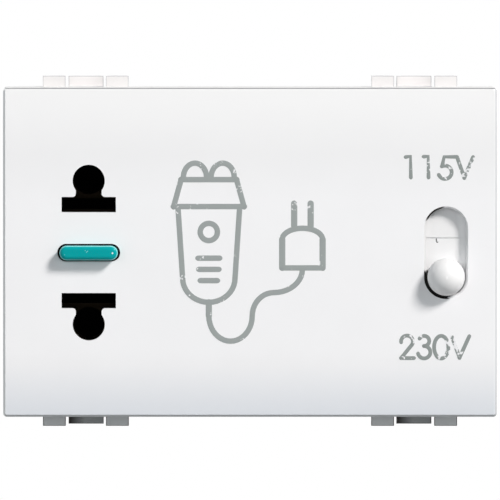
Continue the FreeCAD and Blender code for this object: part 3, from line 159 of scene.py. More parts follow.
# Painted shade on the lugs' fronts: the upper ones a little darker than the face, the lower ones
# much darker, with painted shade along their outlines
UPPER_HOOK_SHADE = (0.80, 0.775, 0.77, 1.0)
UPPER_STOP_SHADE = (0.745, 0.725, 0.72, 1.0)
UPPER_OUTLINE_SHADE = (0.55, 0.55, 0.56, 1.0)
LOWER_HOOK_SHADE = (0.42, 0.44, 0.44, 1.0)
LOWER_HOOK_DEEP_SHADE = (0.012, 0.009, 0.007, 1.0)
LOWER_STOP_SHADE = (0.72, 0.74, 0.74, 1.0)
LOWER_OUTLINE_SHADE = grey(0.06)

# The selector's slot and its slider: the middles of the slot's ends are the knob's two places
KNOB = (26.2, -3.25)
SLOT_TOP = (26.2, 3.25)
SLOT_HALF_HEIGHT = 6.3
SLOT_SIDES = (23.0, 29.4)
SLOT_LEFT_WALL = 23.95
SLOT_FRONT = -8.99
SLOT_FRONT_SOFTNESS = 0.01
# Painted shade on the slot's left wall
SLOT_WALL_SHADE = (0.61, 0.61, 0.615, 1.0)
# Painted shade lies past a distance from the middle, on the side of a direction
LOWER_LEFT = (-0.75, -0.66)
UPPER_LEFT = (-0.6, 0.8)
SLOT_END_SHADE = (
    (KNOB, LOWER_LEFT, 1.6),
    (SLOT_TOP, UPPER_LEFT, 2.45),
)
FOOT_SHADE_REACH = 1.3
PLATE_FRONT = -7.95
KNOB_BACK = -9.05
KNOB_FOOT = 2.72
# Painted light on the knob's lower left and painted shade over the rest of it: direction, distance
# from its middle and colour
KNOB_PAINTED_LIGHT_AND_SHADE = (
    ((-0.8, -0.6), 1.2, grey(0.95)),
    ((0.8, 0.6), -1.2, (0.77, 0.77, 0.775, 1.0)),
)
KNOB_SOFTNESS = 0.9
SCRATCH_UPRIGHT = ((24.84, 24.97, 0.02), (1.42, 1.86, 0.03))
SCRATCH_LEVEL = ((24.9, 25.16, 0.03), (1.30, 1.43, 0.02))
SCRATCH_COLOUR = grey(0.01)

# The plunger: the painted highlight along the edge round its front, its scratches by middle and
# half length, and a painted glint
PLUNGER_EDGE_HIGHLIGHT = (-10.66, -10.34, 0.05)
PLUNGER_FRONT = -10.8
PLUNGER_SUNK = -9.02
PLUNGER_SCRATCHES = (((-21.75, 0.2), 0.24), ((-22.0, 0.34), 0.08), ((-24.75, -0.22), 0.09))
PLUNGER_SCRATCH_HALF = 0.05
GLINT_X = -18.36
GLINT_REACH = 0.14
# Painted highlight colour of the front edge, also the colour of the scratches
PALE_TEAL_HIGHLIGHT_AND_SCRATCH = (0.20, 0.62, 0.62, 1.0)
# Painted glint
GLINT_COLOUR = (0.8, 0.9, 0.9, 1.0)
# Painted shade where the plunger sinks below the face
SUNK_SHADE_COLOUR = (0.0, 0.004, 0.004, 1.0)

# Printed strokes, in millimetres to the right of and above the middle of the face.
# A stroke is a list of points, or an arc: centre, radii, first and last angle in degrees.
UPPER_MARK = (
    [(20.82, 12.62), (21.44, 12.70), (21.48, 9.91)],
    [(23.22, 12.66), (23.80, 12.70), (23.85, 9.91)],
    [(27.62, 12.64), (25.94, 12.64), (25.66, 11.41)],
    ((26.05, 10.58), (0.89, 0.89), 117, -155),
    [(27.67, 12.58), (28.63, 9.85)],
    [(28.63, 9.85), (29.78, 12.58)],
)
LOWER_MARK = (
    ((20.98, -12.04), (0.79, 0.79), 185, -35),
    [(21.63, -12.49), (20.21, -14.24)],
    [(20.21, -14.26), (21.88, -14.26)],
    ((23.27, -11.97), (0.68, 0.68), 150, -90),
    ((23.27, -13.47), (0.83, 0.83), 90, -165),
    ((25.55, -12.80), (0.95, 1.51), 0, 360),
    [(27.00, -11.46), (28.00, -14.20)],
    [(28.00, -14.20), (29.29, -11.36)],
)
SYMBOL = (
    # The shaver's handle, head and foils
    [(-9.6, 5.6), (-9.0, -3.6)],
    [(-2.0, -3.6), (-1.4, 5.6)],
    ((-5.5, -3.6), (3.5, 3.2), 180, 360),
    [(-10.2, 6.0), (-0.8, 6.0)],
    [(-10.2, 6.0), (-9.2, 9.6)],
    [(-0.8, 6.0), (-1.8, 9.6)],
    [(-9.2, 9.6), (-1.8, 9.6)],
    ((-7.35, 9.9), (1.55, 1.9), 180, 0),
    ((-3.65, 9.9), (1.55, 1.9), 180, 0),
    # Its switch and grip lines
    ((-5.5, 2.6), (1.15, 1.15), 0, 360),
    [(-6.9, -0.9), (-4.1, -0.9)],
    [(-6.8, -2.4), (-4.2, -2.4)],
    [(-6.6, -3.9), (-4.4, -3.9)],
    # The lead
    [(-5.5, -6.8), (-5.5, -8.6)],
    ((-2.6, -8.6), (2.9, 3.4), 180, 360),
    ((3.2, -8.6), (2.9, 3.1), 180, 90),
    ((3.2, -2.4), (3.8, 3.1), -90, 0),
    # The plug and its two pins
    [(4.3, -2.2), (9.7, -2.2)],
    [(4.3, -2.2), (4.3, 1.6)],
    [(9.7, -2.2), (9.7, 1.6)],
    ((7.0, 1.6), (2.7, 1.5), 180, 0),
    [(5.9, 3.4), (5.9, 6.4)],
    [(8.1, 3.4), (8.1, 6.4)],
)
ARC_STEP = 9
# A stroke's round end: how far out and how wide, as shares of the stroke's radius
ROUND_END = ((1.0, 0.0), (0.92, 0.39), (0.71, 0.71), (0.39, 0.92))
STEPS_PER_TURN = 24


class SOCKET_PG_spring(bpy.types.PropertyGroup):
    wire: FloatProperty(
        name="Wire", description="Diameter of the spring wire", default=0.35 * MM,
        min=0.1 * MM, unit="LENGTH", precision=5)
    turns: FloatProperty(
        name="Turns", description="Turns from end to end", default=4.0, min=1.0)


class SOCKET_PG_print(bpy.types.PropertyGroup):
    mark_stroke: FloatProperty(
        name="Mark stroke", description="Stroke width of the voltage marks", default=0.59 * MM,
        min=0.1 * MM, unit="LENGTH", precision=5)
    symbol_stroke: FloatProperty(
        name="Symbol stroke", description="Stroke width of the shaver symbol",
        default=0.84 * MM, min=0.1 * MM, unit="LENGTH", precision=5)
    ink_rise: FloatProperty(
        name="Ink rise", description="How far the ink stands above the face",
        default=0.02 * MM, min=0.001 * MM, unit="LENGTH", precision=6)
    mark_colour: FloatVectorProperty(
        name="Mark colour", description="Grey of the voltage marks", subtype="COLOR", size=4,
        default=(0.245, 0.272, 0.265, 1.0), min=0.0, max=1.0)
    symbol_colour: FloatVectorProperty(
        name="Symbol colour", description="Grey of the shaver symbol", subtype="COLOR",
        size=4, default=(0.298, 0.325, 0.322, 1.0), min=0.0, max=1.0)


class SOCKET_PG_finish(bpy.types.PropertyGroup):
    face_colour: FloatVectorProperty(
        name="Face colour", description="Colour of the white mouldings", subtype="COLOR",
        size=4, default=(0.86, 0.86, 0.875, 1.0), min=0.0, max=1.0)
    plunger_colour: FloatVectorProperty(
        name="Plunger colour", description="Colour of the teal plunger", subtype="COLOR",
        size=4, default=(0.0, 0.335, 0.35, 1.0), min=0.0, max=1.0)
    housing_colour: FloatVectorProperty(
        name="Housing colour", description="Colour of the grey mouldings behind the face",
        subtype="COLOR", size=4, default=(0.55, 0.55, 0.53, 1.0), min=0.0, max=1.0)


class SOCKET_PG_stage(bpy.types.PropertyGroup):
    camera_distance: FloatProperty(
        name="Camera distance", description="From the camera to the face", default=2.4,
        min=0.1, unit="LENGTH")
    camera_rise: FloatProperty(
        name="Camera elevation", description="Angle of the camera above the horizon",
        default=math.radians(2.0), subtype="ANGLE")
    picture_width: FloatProperty(
        name="Picture width", description="Width seen at the face", default=66.8 * MM,
        min=1 * MM, unit="LENGTH", precision=4)
    key_power: FloatProperty(
        name="Key light", description="Power of the key light", default=145.0, min=0.0,
        unit="POWER")
    ambient: FloatProperty(
        name="Ambient light", description="Strength of the even light from all round",
        default=1.2, min=0.0)


def props(group):
    """The settings of one property group, as the panel shows them."""
    return getattr(bpy.context.scene, group)


# Shader nodes

def new_material(name, roughness, metallic=0.0):
    """A material with its node tree and its surface shader."""
    material = bpy.data.materials.new(name)
    material.use_nodes = True
    surface = material.node_tree.nodes["Principled BSDF"]
    surface.inputs["Roughness"].default_value = roughness
    surface.inputs["Metallic"].default_value = metallic
    return material, material.node_tree, surface


def add(tree, kind, **values):
    """One node with its inputs set by name."""
    node = tree.nodes.new(kind)
    for name, number in values.items():
        node.inputs[name].default_value = number
    return node


def noise(tree, scale, detail=2.0):
    """Noise over the object coordinates."""
    place = tree.nodes.new("ShaderNodeTexCoord")
    node = add(tree, "ShaderNodeTexNoise", Scale=scale, Detail=detail)
    tree.links.new(place.outputs["Object"], node.inputs["Vector"])
    return node.outputs["Fac"]


def math_node(tree, operation, first, second=0.0):
    """One arithmetic node; both operands may be numbers or other nodes' outputs."""
    node = tree.nodes.new("ShaderNodeMath")
    node.operation = operation
    for slot, operand in enumerate((first, second)):
        if isinstance(operand, float):
            node.inputs[slot].default_value = operand
        else:
            tree.links.new(operand, node.inputs[slot])
    return node.outputs["Value"]


def object_axes(tree):
    """The three object coordinates of a point, in millimetres."""
    place = tree.nodes.new("ShaderNodeTexCoord")
    axes = tree.nodes.new("ShaderNodeSeparateXYZ")
    tree.links.new(place.outputs["Object"], axes.inputs["Vector"])
    return [math_node(tree, "DIVIDE", axes.outputs[name], MM) for name in "XYZ"]


def above(tree, number, limit, soft=0.03):
    """1 past the limit and 0 before it, with a ramp over the softness on either side."""
    node = add(tree, "ShaderNodeMapRange")
    node.inputs["From Min"].default_value = limit - soft
    node.inputs["From Max"].default_value = limit + soft
    tree.links.new(number, node.inputs["Value"])
    return node.outputs["Result"]


def opposite(tree, factor):
    """1 where the factor is 0, and the other way round."""
    return math_node(tree, "SUBTRACT", 1.0, factor)


def below(tree, number, limit, soft=0.03):
    """1 before the limit and 0 past it."""
    return opposite(tree, above(tree, number, limit, soft))


def band(tree, number, low, high, soft=0.03):
    """1 from the lower to the upper limit; None leaves that side open."""
    if low is None:
        return below(tree, number, high, soft)
    if high is None:
        return above(tree, number, low, soft)
    return every(tree, above(tree, number, low, soft), below(tree, number, high, soft))


def every(tree, first, *others):
    """The product of several factors."""
    for other in others:
        first = math_node(tree, "MULTIPLY", first, other)
    return first


def from_middle(tree, x, z, middle):
    """How far a point lies to the right of and above a middle."""
    return [math_node(tree, "SUBTRACT", axis, start) for axis, start in zip((x, z), middle)]


def distance(tree, x, z, middle):
    """How far a point lies from a middle, seen from the front."""
    squares = [math_node(tree, "MULTIPLY", side, side) for side in from_middle(tree, x, z, middle)]
    return math_node(tree, "SQRT", math_node(tree, "ADD", *squares))


def toward(tree, x, z, middle, direction, reach, soft=0.1):
    """1 on the side of a middle that lies in a direction, past a distance from it."""
    right, up = from_middle(tree, x, z, middle)
    along = math_node(tree, "MULTIPLY", right, direction[0])
    aside = math_node(tree, "MULTIPLY", up, direction[1])
    return above(tree, math_node(tree, "ADD", along, aside), reach, soft)


def ramp(tree, factor, low, high):
    """A colour ramp between two stops, each a position and a colour."""
    node = tree.nodes.new("ShaderNodeValToRGB")
    for element, (position, colour) in zip(node.color_ramp.elements, (low, high)):
        element.position = position
        element.color = colour
    tree.links.new(factor, node.inputs["Fac"])
    return node.outputs["Color"]


def two_tones(tree, surface, factor, dark, light, low=0.35, high=0.65):
    """Feed the base colour with a ramp from a darker to a lighter tone."""
    tree.links.new(ramp(tree, factor, (low, dark), (high, light)), surface.inputs["Base Color"])


def tint(tree, surface, factor, colour):
    """Mix a colour into whatever feeds the base colour, by a factor."""
    socket = surface.inputs["Base Color"]
    mix = tree.nodes.new("ShaderNodeMix")
    mix.data_type = "RGBA"
    mix.inputs["B"].default_value = colour
    tree.links.new(factor, mix.inputs["Factor"])
    tree.links.new(socket.links[0].from_socket, mix.inputs["A"])
    tree.links.new(mix.outputs["Result"], socket)


def bump(tree, surface, height, strength, depth):
    """Relief in the surface's shading, from a height of 0 to 1."""
    node = add(tree, "ShaderNodeBump", Strength=strength, Distance=depth)
    tree.links.new(height, node.inputs["Height"])
    tree.links.new(node.outputs["Normal"], surface.inputs["Normal"])


def mixed(tree, factor, first, second):
    """A mix of two shaders."""
    mix = tree.nodes.new("ShaderNodeMixShader")
    tree.links.new(factor, mix.inputs["Fac"])
    tree.links.new(first, mix.inputs[1])
    tree.links.new(second, mix.inputs[2])
    return mix.outputs["Shader"]


# Materials

def shade(colour, factor=1.0):
    """A colour made lighter or darker, with its fourth part set to 1."""
    return tuple(min(1.0, part * factor) for part in colour[:3]) + (1.0,)


def moulding(name, colour, roughness, grain=0.15, spread=0.03, gloss=0.5):
    """Moulded plastic: two close tones and a fine surface grain."""
    material, tree, surface = new_material(name, roughness)
    mottle = noise(tree, MOTTLE_SCALE, 3.0)
    two_tones(tree, surface, mottle, shade(colour, 1.0 - spread), shade(colour, 1.0 + spread))
    bump(tree, surface, noise(tree, GRAIN_SCALE), grain, GRAIN_DEPTH)
    surface.inputs["IOR"].default_value = PLASTIC_IOR
    surface.inputs["Specular IOR Level"].default_value = gloss
    return material


def sheet_metal(name, colour, roughness, stretch=(1.0, 1.0, 1.0), spread=0.08):
    """Drawn or pressed metal: tones and marks along the direction of drawing."""
    material, tree, surface = new_material(name, roughness, 1.0)
    place = tree.nodes.new("ShaderNodeTexCoord")
    mapping = add(tree, "ShaderNodeMapping", Scale=stretch)
    tree.links.new(place.outputs["Object"], mapping.inputs["Vector"])
    lines = add(tree, "ShaderNodeTexNoise", Scale=DRAWN_SCALE, Detail=3.0)
    tree.links.new(mapping.outputs["Vector"], lines.inputs["Vector"])
    height = lines.outputs["Fac"]
    two_tones(tree, surface, height, shade(colour, 1.0 - spread), shade(colour, 1.0 + spread))
    bump(tree, surface, height, 0.2, GRAIN_DEPTH)
    return material


def banded(name, dark, light, axis, pitch, roughness, metallic, depth):
    """Bands across one axis: the edges of laminations or the turns of a coil."""
    material, tree, surface = new_material(name, roughness, metallic)
    place = tree.nodes.new("ShaderNodeTexCoord")
    # A wave texture of scale 1 has 10 / pi bands to the metre
    wave = add(tree, "ShaderNodeTexWave", Scale=math.pi / (10.0 * pitch),
               Distortion=BAND_DISTORTION)
    wave.bands_direction = axis
    tree.links.new(place.outputs["Object"], wave.inputs["Vector"])
    two_tones(tree, surface, wave.outputs["Fac"], shade(dark), shade(light), 0.1, 0.9)
    bump(tree, surface, wave.outputs["Fac"], 0.6, depth)
    return material


def ink(name, colour, worn_from):
    """Thin print, worn through in specks that gather in patches."""
    material, tree, surface = new_material(name, 0.45)
    worn = every(tree, noise(tree, SPECK_SCALE, 3.0), noise(tree, PATCH_SCALE, 1.0))
    two_tones(tree, surface, worn, colour, WORN_COLOUR, worn_from, worn_from + WORN_STEP)
    return material


def materials_for(finish):
    """Every material of the model, by the name of its slot."""
    plastics = {
        "white_plastic": dict(
            colour=finish.face_colour, roughness=0.34, grain=0.06, spread=0.006, gloss=0.3),
        "grey_plastic": dict(colour=finish.housing_colour, roughness=0.6, gloss=0.15),
        "black_plastic": dict(colour=grey(0.004), roughness=0.6, gloss=0.04),
        "bobbin_plastic": dict(colour=(0.02, 0.022, 0.02), roughness=0.5),
        "teal_plastic": dict(
            colour=finish.plunger_colour, roughness=0.12, grain=0.08, spread=0.04, gloss=0.07),
        "lead_blue": dict(colour=(0.02, 0.10, 0.42), roughness=0.3, grain=0.05),
        "lead_brown": dict(colour=(0.10, 0.035, 0.015), roughness=0.3, grain=0.05),
        "lead_white": dict(colour=(0.75, 0.75, 0.72), roughness=0.3, grain=0.05),
    }
    metals = {
        "brass": dict(colour=(0.42, 0.28, 0.09), roughness=0.32, stretch=DRAWN_ALONG_Y),
        # The contacts are near-black: painted shade, so that the keyholes read black
        "contact_bronze": dict(
            colour=(0.016, 0.012, 0.008), roughness=0.6, stretch=DRAWN_ALONG_Y),
        "plated_steel": dict(colour=(0.62, 0.62, 0.60), roughness=0.3),
    }
    layers = {
        "lamination": dict(
            dark=(0.02, 0.02, 0.024), light=(0.12, 0.12, 0.13), axis="X", pitch=0.5 * MM,
            roughness=0.45, metallic=0.8, depth=0.05 * MM),
        "enamelled_copper": dict(
            dark=(0.12, 0.02, 0.006), light=(0.45, 0.13, 0.04), axis="Z", pitch=0.3 * MM,
            roughness=0.25, metallic=0.6, depth=0.1 * MM),
    }
    materials = {slot: moulding(slot, **look) for slot, look in plastics.items()}
    materials.update({slot: sheet_metal(slot, **look) for slot, look in metals.items()})
    materials.update({slot: banded(slot, **look) for slot, look in layers.items()})
    return materials


# Tones by place on single pieces

def canvas_of(material):
    """The material's tree, its surface and the object coordinates in millimetres."""
    tree = material.node_tree
    return (tree, tree.nodes["Principled BSDF"], *object_axes(tree))


def lay_tones(canvas, rows, *within):
    """Lay a table's tones over a piece, kept within further factors."""
    tree, surface, x, y, z = canvas
    axes = {"x": x, "y": y, "z": z}
    for axis, low, high, soft, colour in rows:
        factor = every(tree, band(tree, axes[axis], low, high, soft), *within)
        tint(tree, surface, factor, colour)


def paint_lug_shade(canvas):
    """Painted shade on the lugs, darker than the face, the lower ones most, with a darker outline
    of painted shade.
    """
    tree, surface, x, y, z = canvas
    rise = math_node(tree, "ABSOLUTE", z)
    group = math_node(tree, "MULTIPLY", math_node(tree, "SIGN", x), LUG_GROUP)
    along = math_node(tree, "SUBTRACT", x, group)
    off = math_node(tree, "ABSOLUTE", along)
    stop = above(tree, off, HOOK_HALF)
    hook = opposite(tree, stop)
    stop_front = every(tree, stop, below(tree, y, STOP_FRONT))
    hook_front = every(tree, hook, below(tree, y, HOOK_FRONT))
    fronts = math_node(tree, "ADD", stop_front, hook_front)
    front = every(tree, fronts, above(tree, rise, LUG_FOOT))

    crest = math_node(tree, "ADD", rise, every(tree, hook, HOOK_LOWER_BY))
    outline = above(tree, crest, LUG_CREST)
    for low, high in LUG_EDGES:
        outline = math_node(tree, "MAXIMUM", outline, band(tree, off, low, high))
    upper = above(tree, z, 0.0)
    lower = opposite(tree, upper)
    hook_left = every(tree, hook, below(tree, along, HOOK_SHADE_FROM, HOOK_SHADE_SOFTNESS))
    parts = (
        (upper, hook, UPPER_HOOK_SHADE),
        (upper, stop, UPPER_STOP_SHADE),
        (upper, outline, UPPER_OUTLINE_SHADE),
        (lower, stop, LOWER_STOP_SHADE),
        (lower, hook, LOWER_HOOK_SHADE),
        (lower, hook_left, LOWER_HOOK_DEEP_SHADE),
        (lower, outline, LOWER_OUTLINE_SHADE),
    )
    for half, part, colour in parts:
        tint(tree, surface, every(tree, front, half, part), colour)


def paint_slot_shade(canvas):
    """Painted shade on the left wall of the selector's slot, and along its two ends."""
    tree, surface, x, y, z = canvas
    inside = every(tree, below(tree, math_node(tree, "ABSOLUTE", z), SLOT_HALF_HEIGHT),
                   band(tree, x, *SLOT_SIDES),
                   above(tree, y, SLOT_FRONT, SLOT_FRONT_SOFTNESS))
    # Painted shade on the slot's left wall
    tint(tree, surface, every(tree, inside, below(tree, x, SLOT_LEFT_WALL)), SLOT_WALL_SHADE)
    for end, direction, reach in SLOT_END_SHADE:
        edge = toward(tree, x, z, end, direction, reach)
        tint(tree, surface, every(tree, inside, edge), GAP_SHADE_COLOUR)


def paint_cover_light_and_shade(material):
    """Painted light and shade on the cover's rolled edges, the lines at its rim, its lugs and the
    selector's slot.
    """
    canvas = canvas_of(material)
    tree, surface, x, y, z = canvas
    lay_tones(canvas, FACE_PAINTED_SHADE)
    lay_tones(canvas, RIM_PAINTED_LIGHT_AND_SHADE, below(tree, y, RIM_BACK))
    paint_lug_shade(canvas)
    paint_slot_shade(canvas)


def mark_slider(material):
    """Painted light and shade on the plate and the knob, painted shade round the knob's foot, and
    a small scratch.
    """
    canvas = canvas_of(material)
    tree, surface, x, y, z = canvas
    plate = above(tree, y, PLATE_FRONT)
    tint(tree, surface, plate, PLATE_SHADE_COLOUR)
    lay_tones(canvas, PLATE_PAINTED_LIGHT_AND_SIDE_TONE, plate)
    knob = below(tree, y, KNOB_BACK)
    # Painted light and shade on the knob
    for direction, reach, colour in KNOB_PAINTED_LIGHT_AND_SHADE:
        side = toward(tree, x, z, KNOB, direction, reach, KNOB_SOFTNESS)
        tint(tree, surface, every(tree, knob, side), colour)

    # Painted shade round the lower left of the knob's foot
    knob_side = toward(tree, x, z, KNOB, LOWER_LEFT, FOOT_SHADE_REACH)
    foot = below(tree, distance(tree, x, z, KNOB), KNOB_FOOT)
    tint(tree, surface, every(tree, plate, knob_side, foot), GAP_SHADE_COLOUR)
    upright, level = (every(tree, band(tree, x, *across), band(tree, z, *along))
                      for across, along in (SCRATCH_UPRIGHT, SCRATCH_LEVEL))
    scratch = math_node(tree, "MAXIMUM", upright, level)
    tint(tree, surface, every(tree, plate, scratch), SCRATCH_COLOUR)


def mark_plunger(material):
    """A painted highlight round the front edge, small scratches, a painted glint, and painted
    shade below the face.
    """
    tree, surface, x, y, z = canvas_of(material)
    # Painted highlight along the edge round the front
    tint(tree, surface, band(tree, y, *PLUNGER_EDGE_HIGHLIGHT), PALE_TEAL_HIGHLIGHT_AND_SCRATCH)
    front = below(tree, y, PLUNGER_FRONT)
    for middle, half in PLUNGER_SCRATCHES:
        right, up = from_middle(tree, x, z, middle)
        across = math_node(tree, "SUBTRACT", right, up)
        along = math_node(tree, "ADD", right, up)
        line = every(tree, band(tree, across, -PLUNGER_SCRATCH_HALF, PLUNGER_SCRATCH_HALF),
                     band(tree, along, -half, half))
        tint(tree, surface, every(tree, front, line), PALE_TEAL_HIGHLIGHT_AND_SCRATCH)
    # A painted glint on the right end of the front
    right = math_node(tree, "ABSOLUTE", math_node(tree, "SUBTRACT", x, GLINT_X))
    off = math_node(tree, "ADD", right, math_node(tree, "ABSOLUTE", z))
    tint(tree, surface, every(tree, below(tree, off, GLINT_REACH), front), GLINT_COLOUR)
    # Painted shade where the plunger sinks below the face
    tint(tree, surface, above(tree, y, PLUNGER_SUNK), SUNK_SHADE_COLOUR)


DETAILS = {
    "front_cover": paint_cover_light_and_shade,
    "selector_slider": mark_slider,
    "interlock_plunger": mark_plunger,
}


class SOCKET_OT_finish(bpy.types.Operator):
    """Give every piece of the model its procedural finish"""
    bl_idname = "socket.finish"
    bl_label = "Finish the pieces"

    def execute(self, context):
        materials = materials_for(props("socket_finish"))
        for entry in frame["record"]["subparts"]:
            name = entry["node"]
            slot = entry["material_slot"]
            if slot not in materials:
                raise RuntimeError("no finish for " + slot)
            material = materials[slot]
            if name in DETAILS:
                material = material.copy()
                material.name = "%s_%s" % (slot, name)
                DETAILS[name](material)
            node = frame["nodes"][name]
            node.data.materials.clear()
            node.data.materials.append(material)
        return {"FINISHED"}


# New pieces

def deselect():
    """Object mode with nothing selected, ready for a new piece."""
    if bpy.context.mode != "OBJECT":
        bpy.ops.object.mode_set(mode="OBJECT")
    bpy.ops.object.select_all(action="DESELECT")


def new_curve(name, thickness):
    """An empty curve at the origin, drawn as a rod of this thickness."""
    deselect()
    bpy.ops.curve.primitive_bezier_curve_add(location=(0.0, 0.0, 0.0))
    piece = bpy.context.object
    piece.name = name
    piece.data.splines.clear()
    piece.data.bevel_depth = thickness / 2
    piece.data.bevel_resolution = 1
    return piece


def draw_line(piece, points, radii):
    """One line of a curve through points, each with its share of the thickness."""
    spline = piece.data.splines.new("POLY")
    spline.points.add(len(points) - 1)
    for point, place, radius in zip(spline.points, points, radii):
        point.co = (*place, 1.0)
        point.radius = radius


def finished(piece, material):
    """The mesh's faces turned outwards, in its material, carried by the socket."""
    bpy.ops.object.mode_set(mode="EDIT")
    bpy.ops.mesh.select_all(action="SELECT")
    bpy.ops.mesh.normals_make_consistent(inside=False)
    bpy.ops.object.mode_set(mode="OBJECT")
    piece.data.materials.clear()
    piece.data.materials.append(material)
    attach(piece, "socket")


def helix(middle, radius, start, length, turns):
    """Points along a wire that is wound round the y axis from a start."""
    steps = round(turns * STEPS_PER_TURN)
    points = []
    for step in range(steps + 1):
        angle = math.tau * turns * step / steps
        points.append((middle.x + radius * math.cos(angle), start + length * step / steps,
                       middle.z + radius * math.sin(angle)))
    return points


class SOCKET_OT_spring(bpy.types.Operator):
    """Wind the plunger's return spring at its rest length; the wound coil does not shorten as the
    plunger goes in
    """
    bl_idname = "socket.spring"
    bl_label = "Wind the return spring"

    def execute(self, context):
        sizes = props("socket_spring")
        low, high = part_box("plunger_spring")
        middle = (low + high) / 2
        radius = (high.x - low.x - sizes.wire) / 2
        length = high.y - low.y - sizes.wire
        points = helix(middle, radius, low.y + sizes.wire / 2, length, sizes.turns)
        piece = new_curve("return_spring", sizes.wire)
        piece.data.use_fill_caps = True
        draw_line(piece, points, [1.0] * len(points))
        bpy.ops.object.convert(target="MESH")
        bpy.ops.object.shade_smooth()
        finished(piece, bpy.data.materials["plated_steel"])
        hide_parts("plunger_spring")
        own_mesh(piece)
        return {"FINISHED"}


def arc_points(centre, radii, first, last):
    """Points along an arc of a circle or an ellipse."""
    steps = max(4, int(abs(last - first) / ARC_STEP))
    angles = [math.radians(first + (last - first) * n / steps) for n in range(steps + 1)]
    return [(centre[0] + radii[0] * math.cos(angle), centre[1] + radii[1] * math.sin(angle))
            for angle in angles]


def rounded_ends(points, radius):
    """The stroke's points with their widths, tapering over a half circle at both ends."""
    start = Vector(points[0])
    end = Vector(points[-1])
    before = (start - Vector(points[1])).normalized() * radius
    after = (end - Vector(points[-2])).normalized() * radius
    run = [(start + before * out, width) for out, width in ROUND_END]
    run += [(Vector(point), 1.0) for point in points]
    run += [(end + after * out, width) for out, width in reversed(ROUND_END)]
    return run


def printed(name, strokes, width, rise, material):
    """One printed piece: every stroke a flattened rod, its middle on the face."""
    piece = new_curve(name, width)
    for stroke in strokes:
        points = stroke if isinstance(stroke, list) else arc_points(*stroke)
        run = rounded_ends([(x * MM, z * MM) for x, z in points], width / 2)
        draw_line(piece, [(place.x, 0.0, place.y) for place, share in run],
                  [share for place, share in run])
    bpy.ops.object.convert(target="MESH")
    bpy.ops.transform.resize(value=(1.0, 2 * rise / width, 1.0), center_override=(0.0, 0.0, 0.0))
    bpy.ops.transform.translate(value=(0.0, FACE_Y, PRINT_RISE))
    bpy.ops.object.transform_apply(location=True, rotation=True, scale=True)
    bpy.ops.object.shade_flat()
    finished(piece, material)


class SOCKET_OT_marks(bpy.types.Operator):
    """Print the two voltage marks above and below the selector"""
    bl_idname = "socket.marks"
    bl_label = "Print the voltage marks"

    def execute(self, context):
        sizes = props("socket_print")
        material = ink("mark_ink", sizes.mark_colour, MARK_WORN_FROM)
        printed("mark_115", UPPER_MARK, sizes.mark_stroke, sizes.ink_rise, material)
        printed("mark_230", LOWER_MARK, sizes.mark_stroke, sizes.ink_rise, material)
        return {"FINISHED"}


class SOCKET_OT_symbol(bpy.types.Operator):
    """Print the shaver symbol in the middle of the face"""
    bl_idname = "socket.symbol"
    bl_label = "Print the shaver symbol"

    def execute(self, context):
        sizes = props("socket_print")
        material = ink("symbol_ink", sizes.symbol_colour, SYMBOL_WORN_FROM)
        printed("shaver_symbol", SYMBOL, sizes.symbol_stroke, sizes.ink_rise, material)
        return {"FINISHED"}


# Studio

def seen_as(tree, lighting, seen):
    """One shader that lights the pieces, and another that the camera and reflections see."""
    path = tree.nodes.new("ShaderNodeLightPath")
    looking = path.outputs["Is Camera Ray"]
    for name in ("Is Glossy Ray", "Is Transmission Ray"):
        looking = math_node(tree, "MAXIMUM", looking, path.outputs[name])
    return mixed(tree, looking, lighting, seen)


def output_of(tree, kind):
    """Where the tree's output node takes its shader."""
    return next(node for node in tree.nodes if node.type == kind).inputs["Surface"]


def shown_paper(tree):
    """Paper near the socket, with its shadow, that fades into the white all round."""
    paper = add(tree, "ShaderNodeBsdfDiffuse", Color=PAPER_SEEN)
    glow = add(tree, "ShaderNodeEmission", Strength=PAPER_GLOW)
    near = tree.nodes.new("ShaderNodeAddShader")
    tree.links.new(paper.outputs["BSDF"], near.inputs[0])
    tree.links.new(glow.outputs["Emission"], near.inputs[1])
    place = tree.nodes.new("ShaderNodeTexCoord")
    reach = tree.nodes.new("ShaderNodeVectorMath")
    reach.operation = "LENGTH"
    tree.links.new(place.outputs["Object"], reach.inputs[0])
    white = add(tree, "ShaderNodeEmission", Strength=1.0)
    far = above(tree, reach.outputs["Value"], *PAPER_FADE)
    return mixed(tree, far, near.outputs["Shader"], white.outputs["Emission"])


def floor_paper():
    """Paper that lights the pieces in one tone, shows in another, and is clear from below."""
    material, tree, surface = new_material("floor_paper", 0.9)
    two_tones(tree, surface, noise(tree, PAPER_SCALE), *PAPER_TONES)
    top = seen_as(tree, surface.outputs["BSDF"], shown_paper(tree))
    side = tree.nodes.new("ShaderNodeNewGeometry")
    clear = tree.nodes.new("ShaderNodeBsdfTransparent")
    whole = mixed(tree, side.outputs["Backfacing"], top, clear.outputs["BSDF"])
    tree.links.new(whole, output_of(tree, "OUTPUT_MATERIAL"))
    return material


def lay_floor():
    """A sheet of paper under the socket."""
    deselect()
    bpy.ops.mesh.primitive_plane_add(size=FLOOR_SIDE, location=(0.0, 0.0, FLOOR_Z))
    floor = bpy.context.object
    floor.name = "floor"
    floor.data.materials.append(floor_paper())


def light_evenly(scene, strength):
    """An even light that is weaker from above, in surroundings that show white."""
    world = bpy.data.worlds.new("studio")
    scene.world = world
    world.use_nodes = True
    tree = world.node_tree
    even = tree.nodes["Background"]
    even.inputs["Strength"].default_value = strength
    place = tree.nodes.new("ShaderNodeTexCoord")
    axes = tree.nodes.new("ShaderNodeSeparateXYZ")
    tree.links.new(place.outputs["Generated"], axes.inputs["Vector"])
    colour = ramp(tree, axes.outputs["Z"], WORLD_LOW, WORLD_HIGH)
    tree.links.new(colour, even.inputs["Color"])
    white = add(tree, "ShaderNodeBackground", Color=grey(1.0), Strength=1.0)
    whole = seen_as(tree, even.outputs["Background"], white.outputs["Background"])
    tree.links.new(whole, output_of(tree, "OUTPUT_WORLD"))


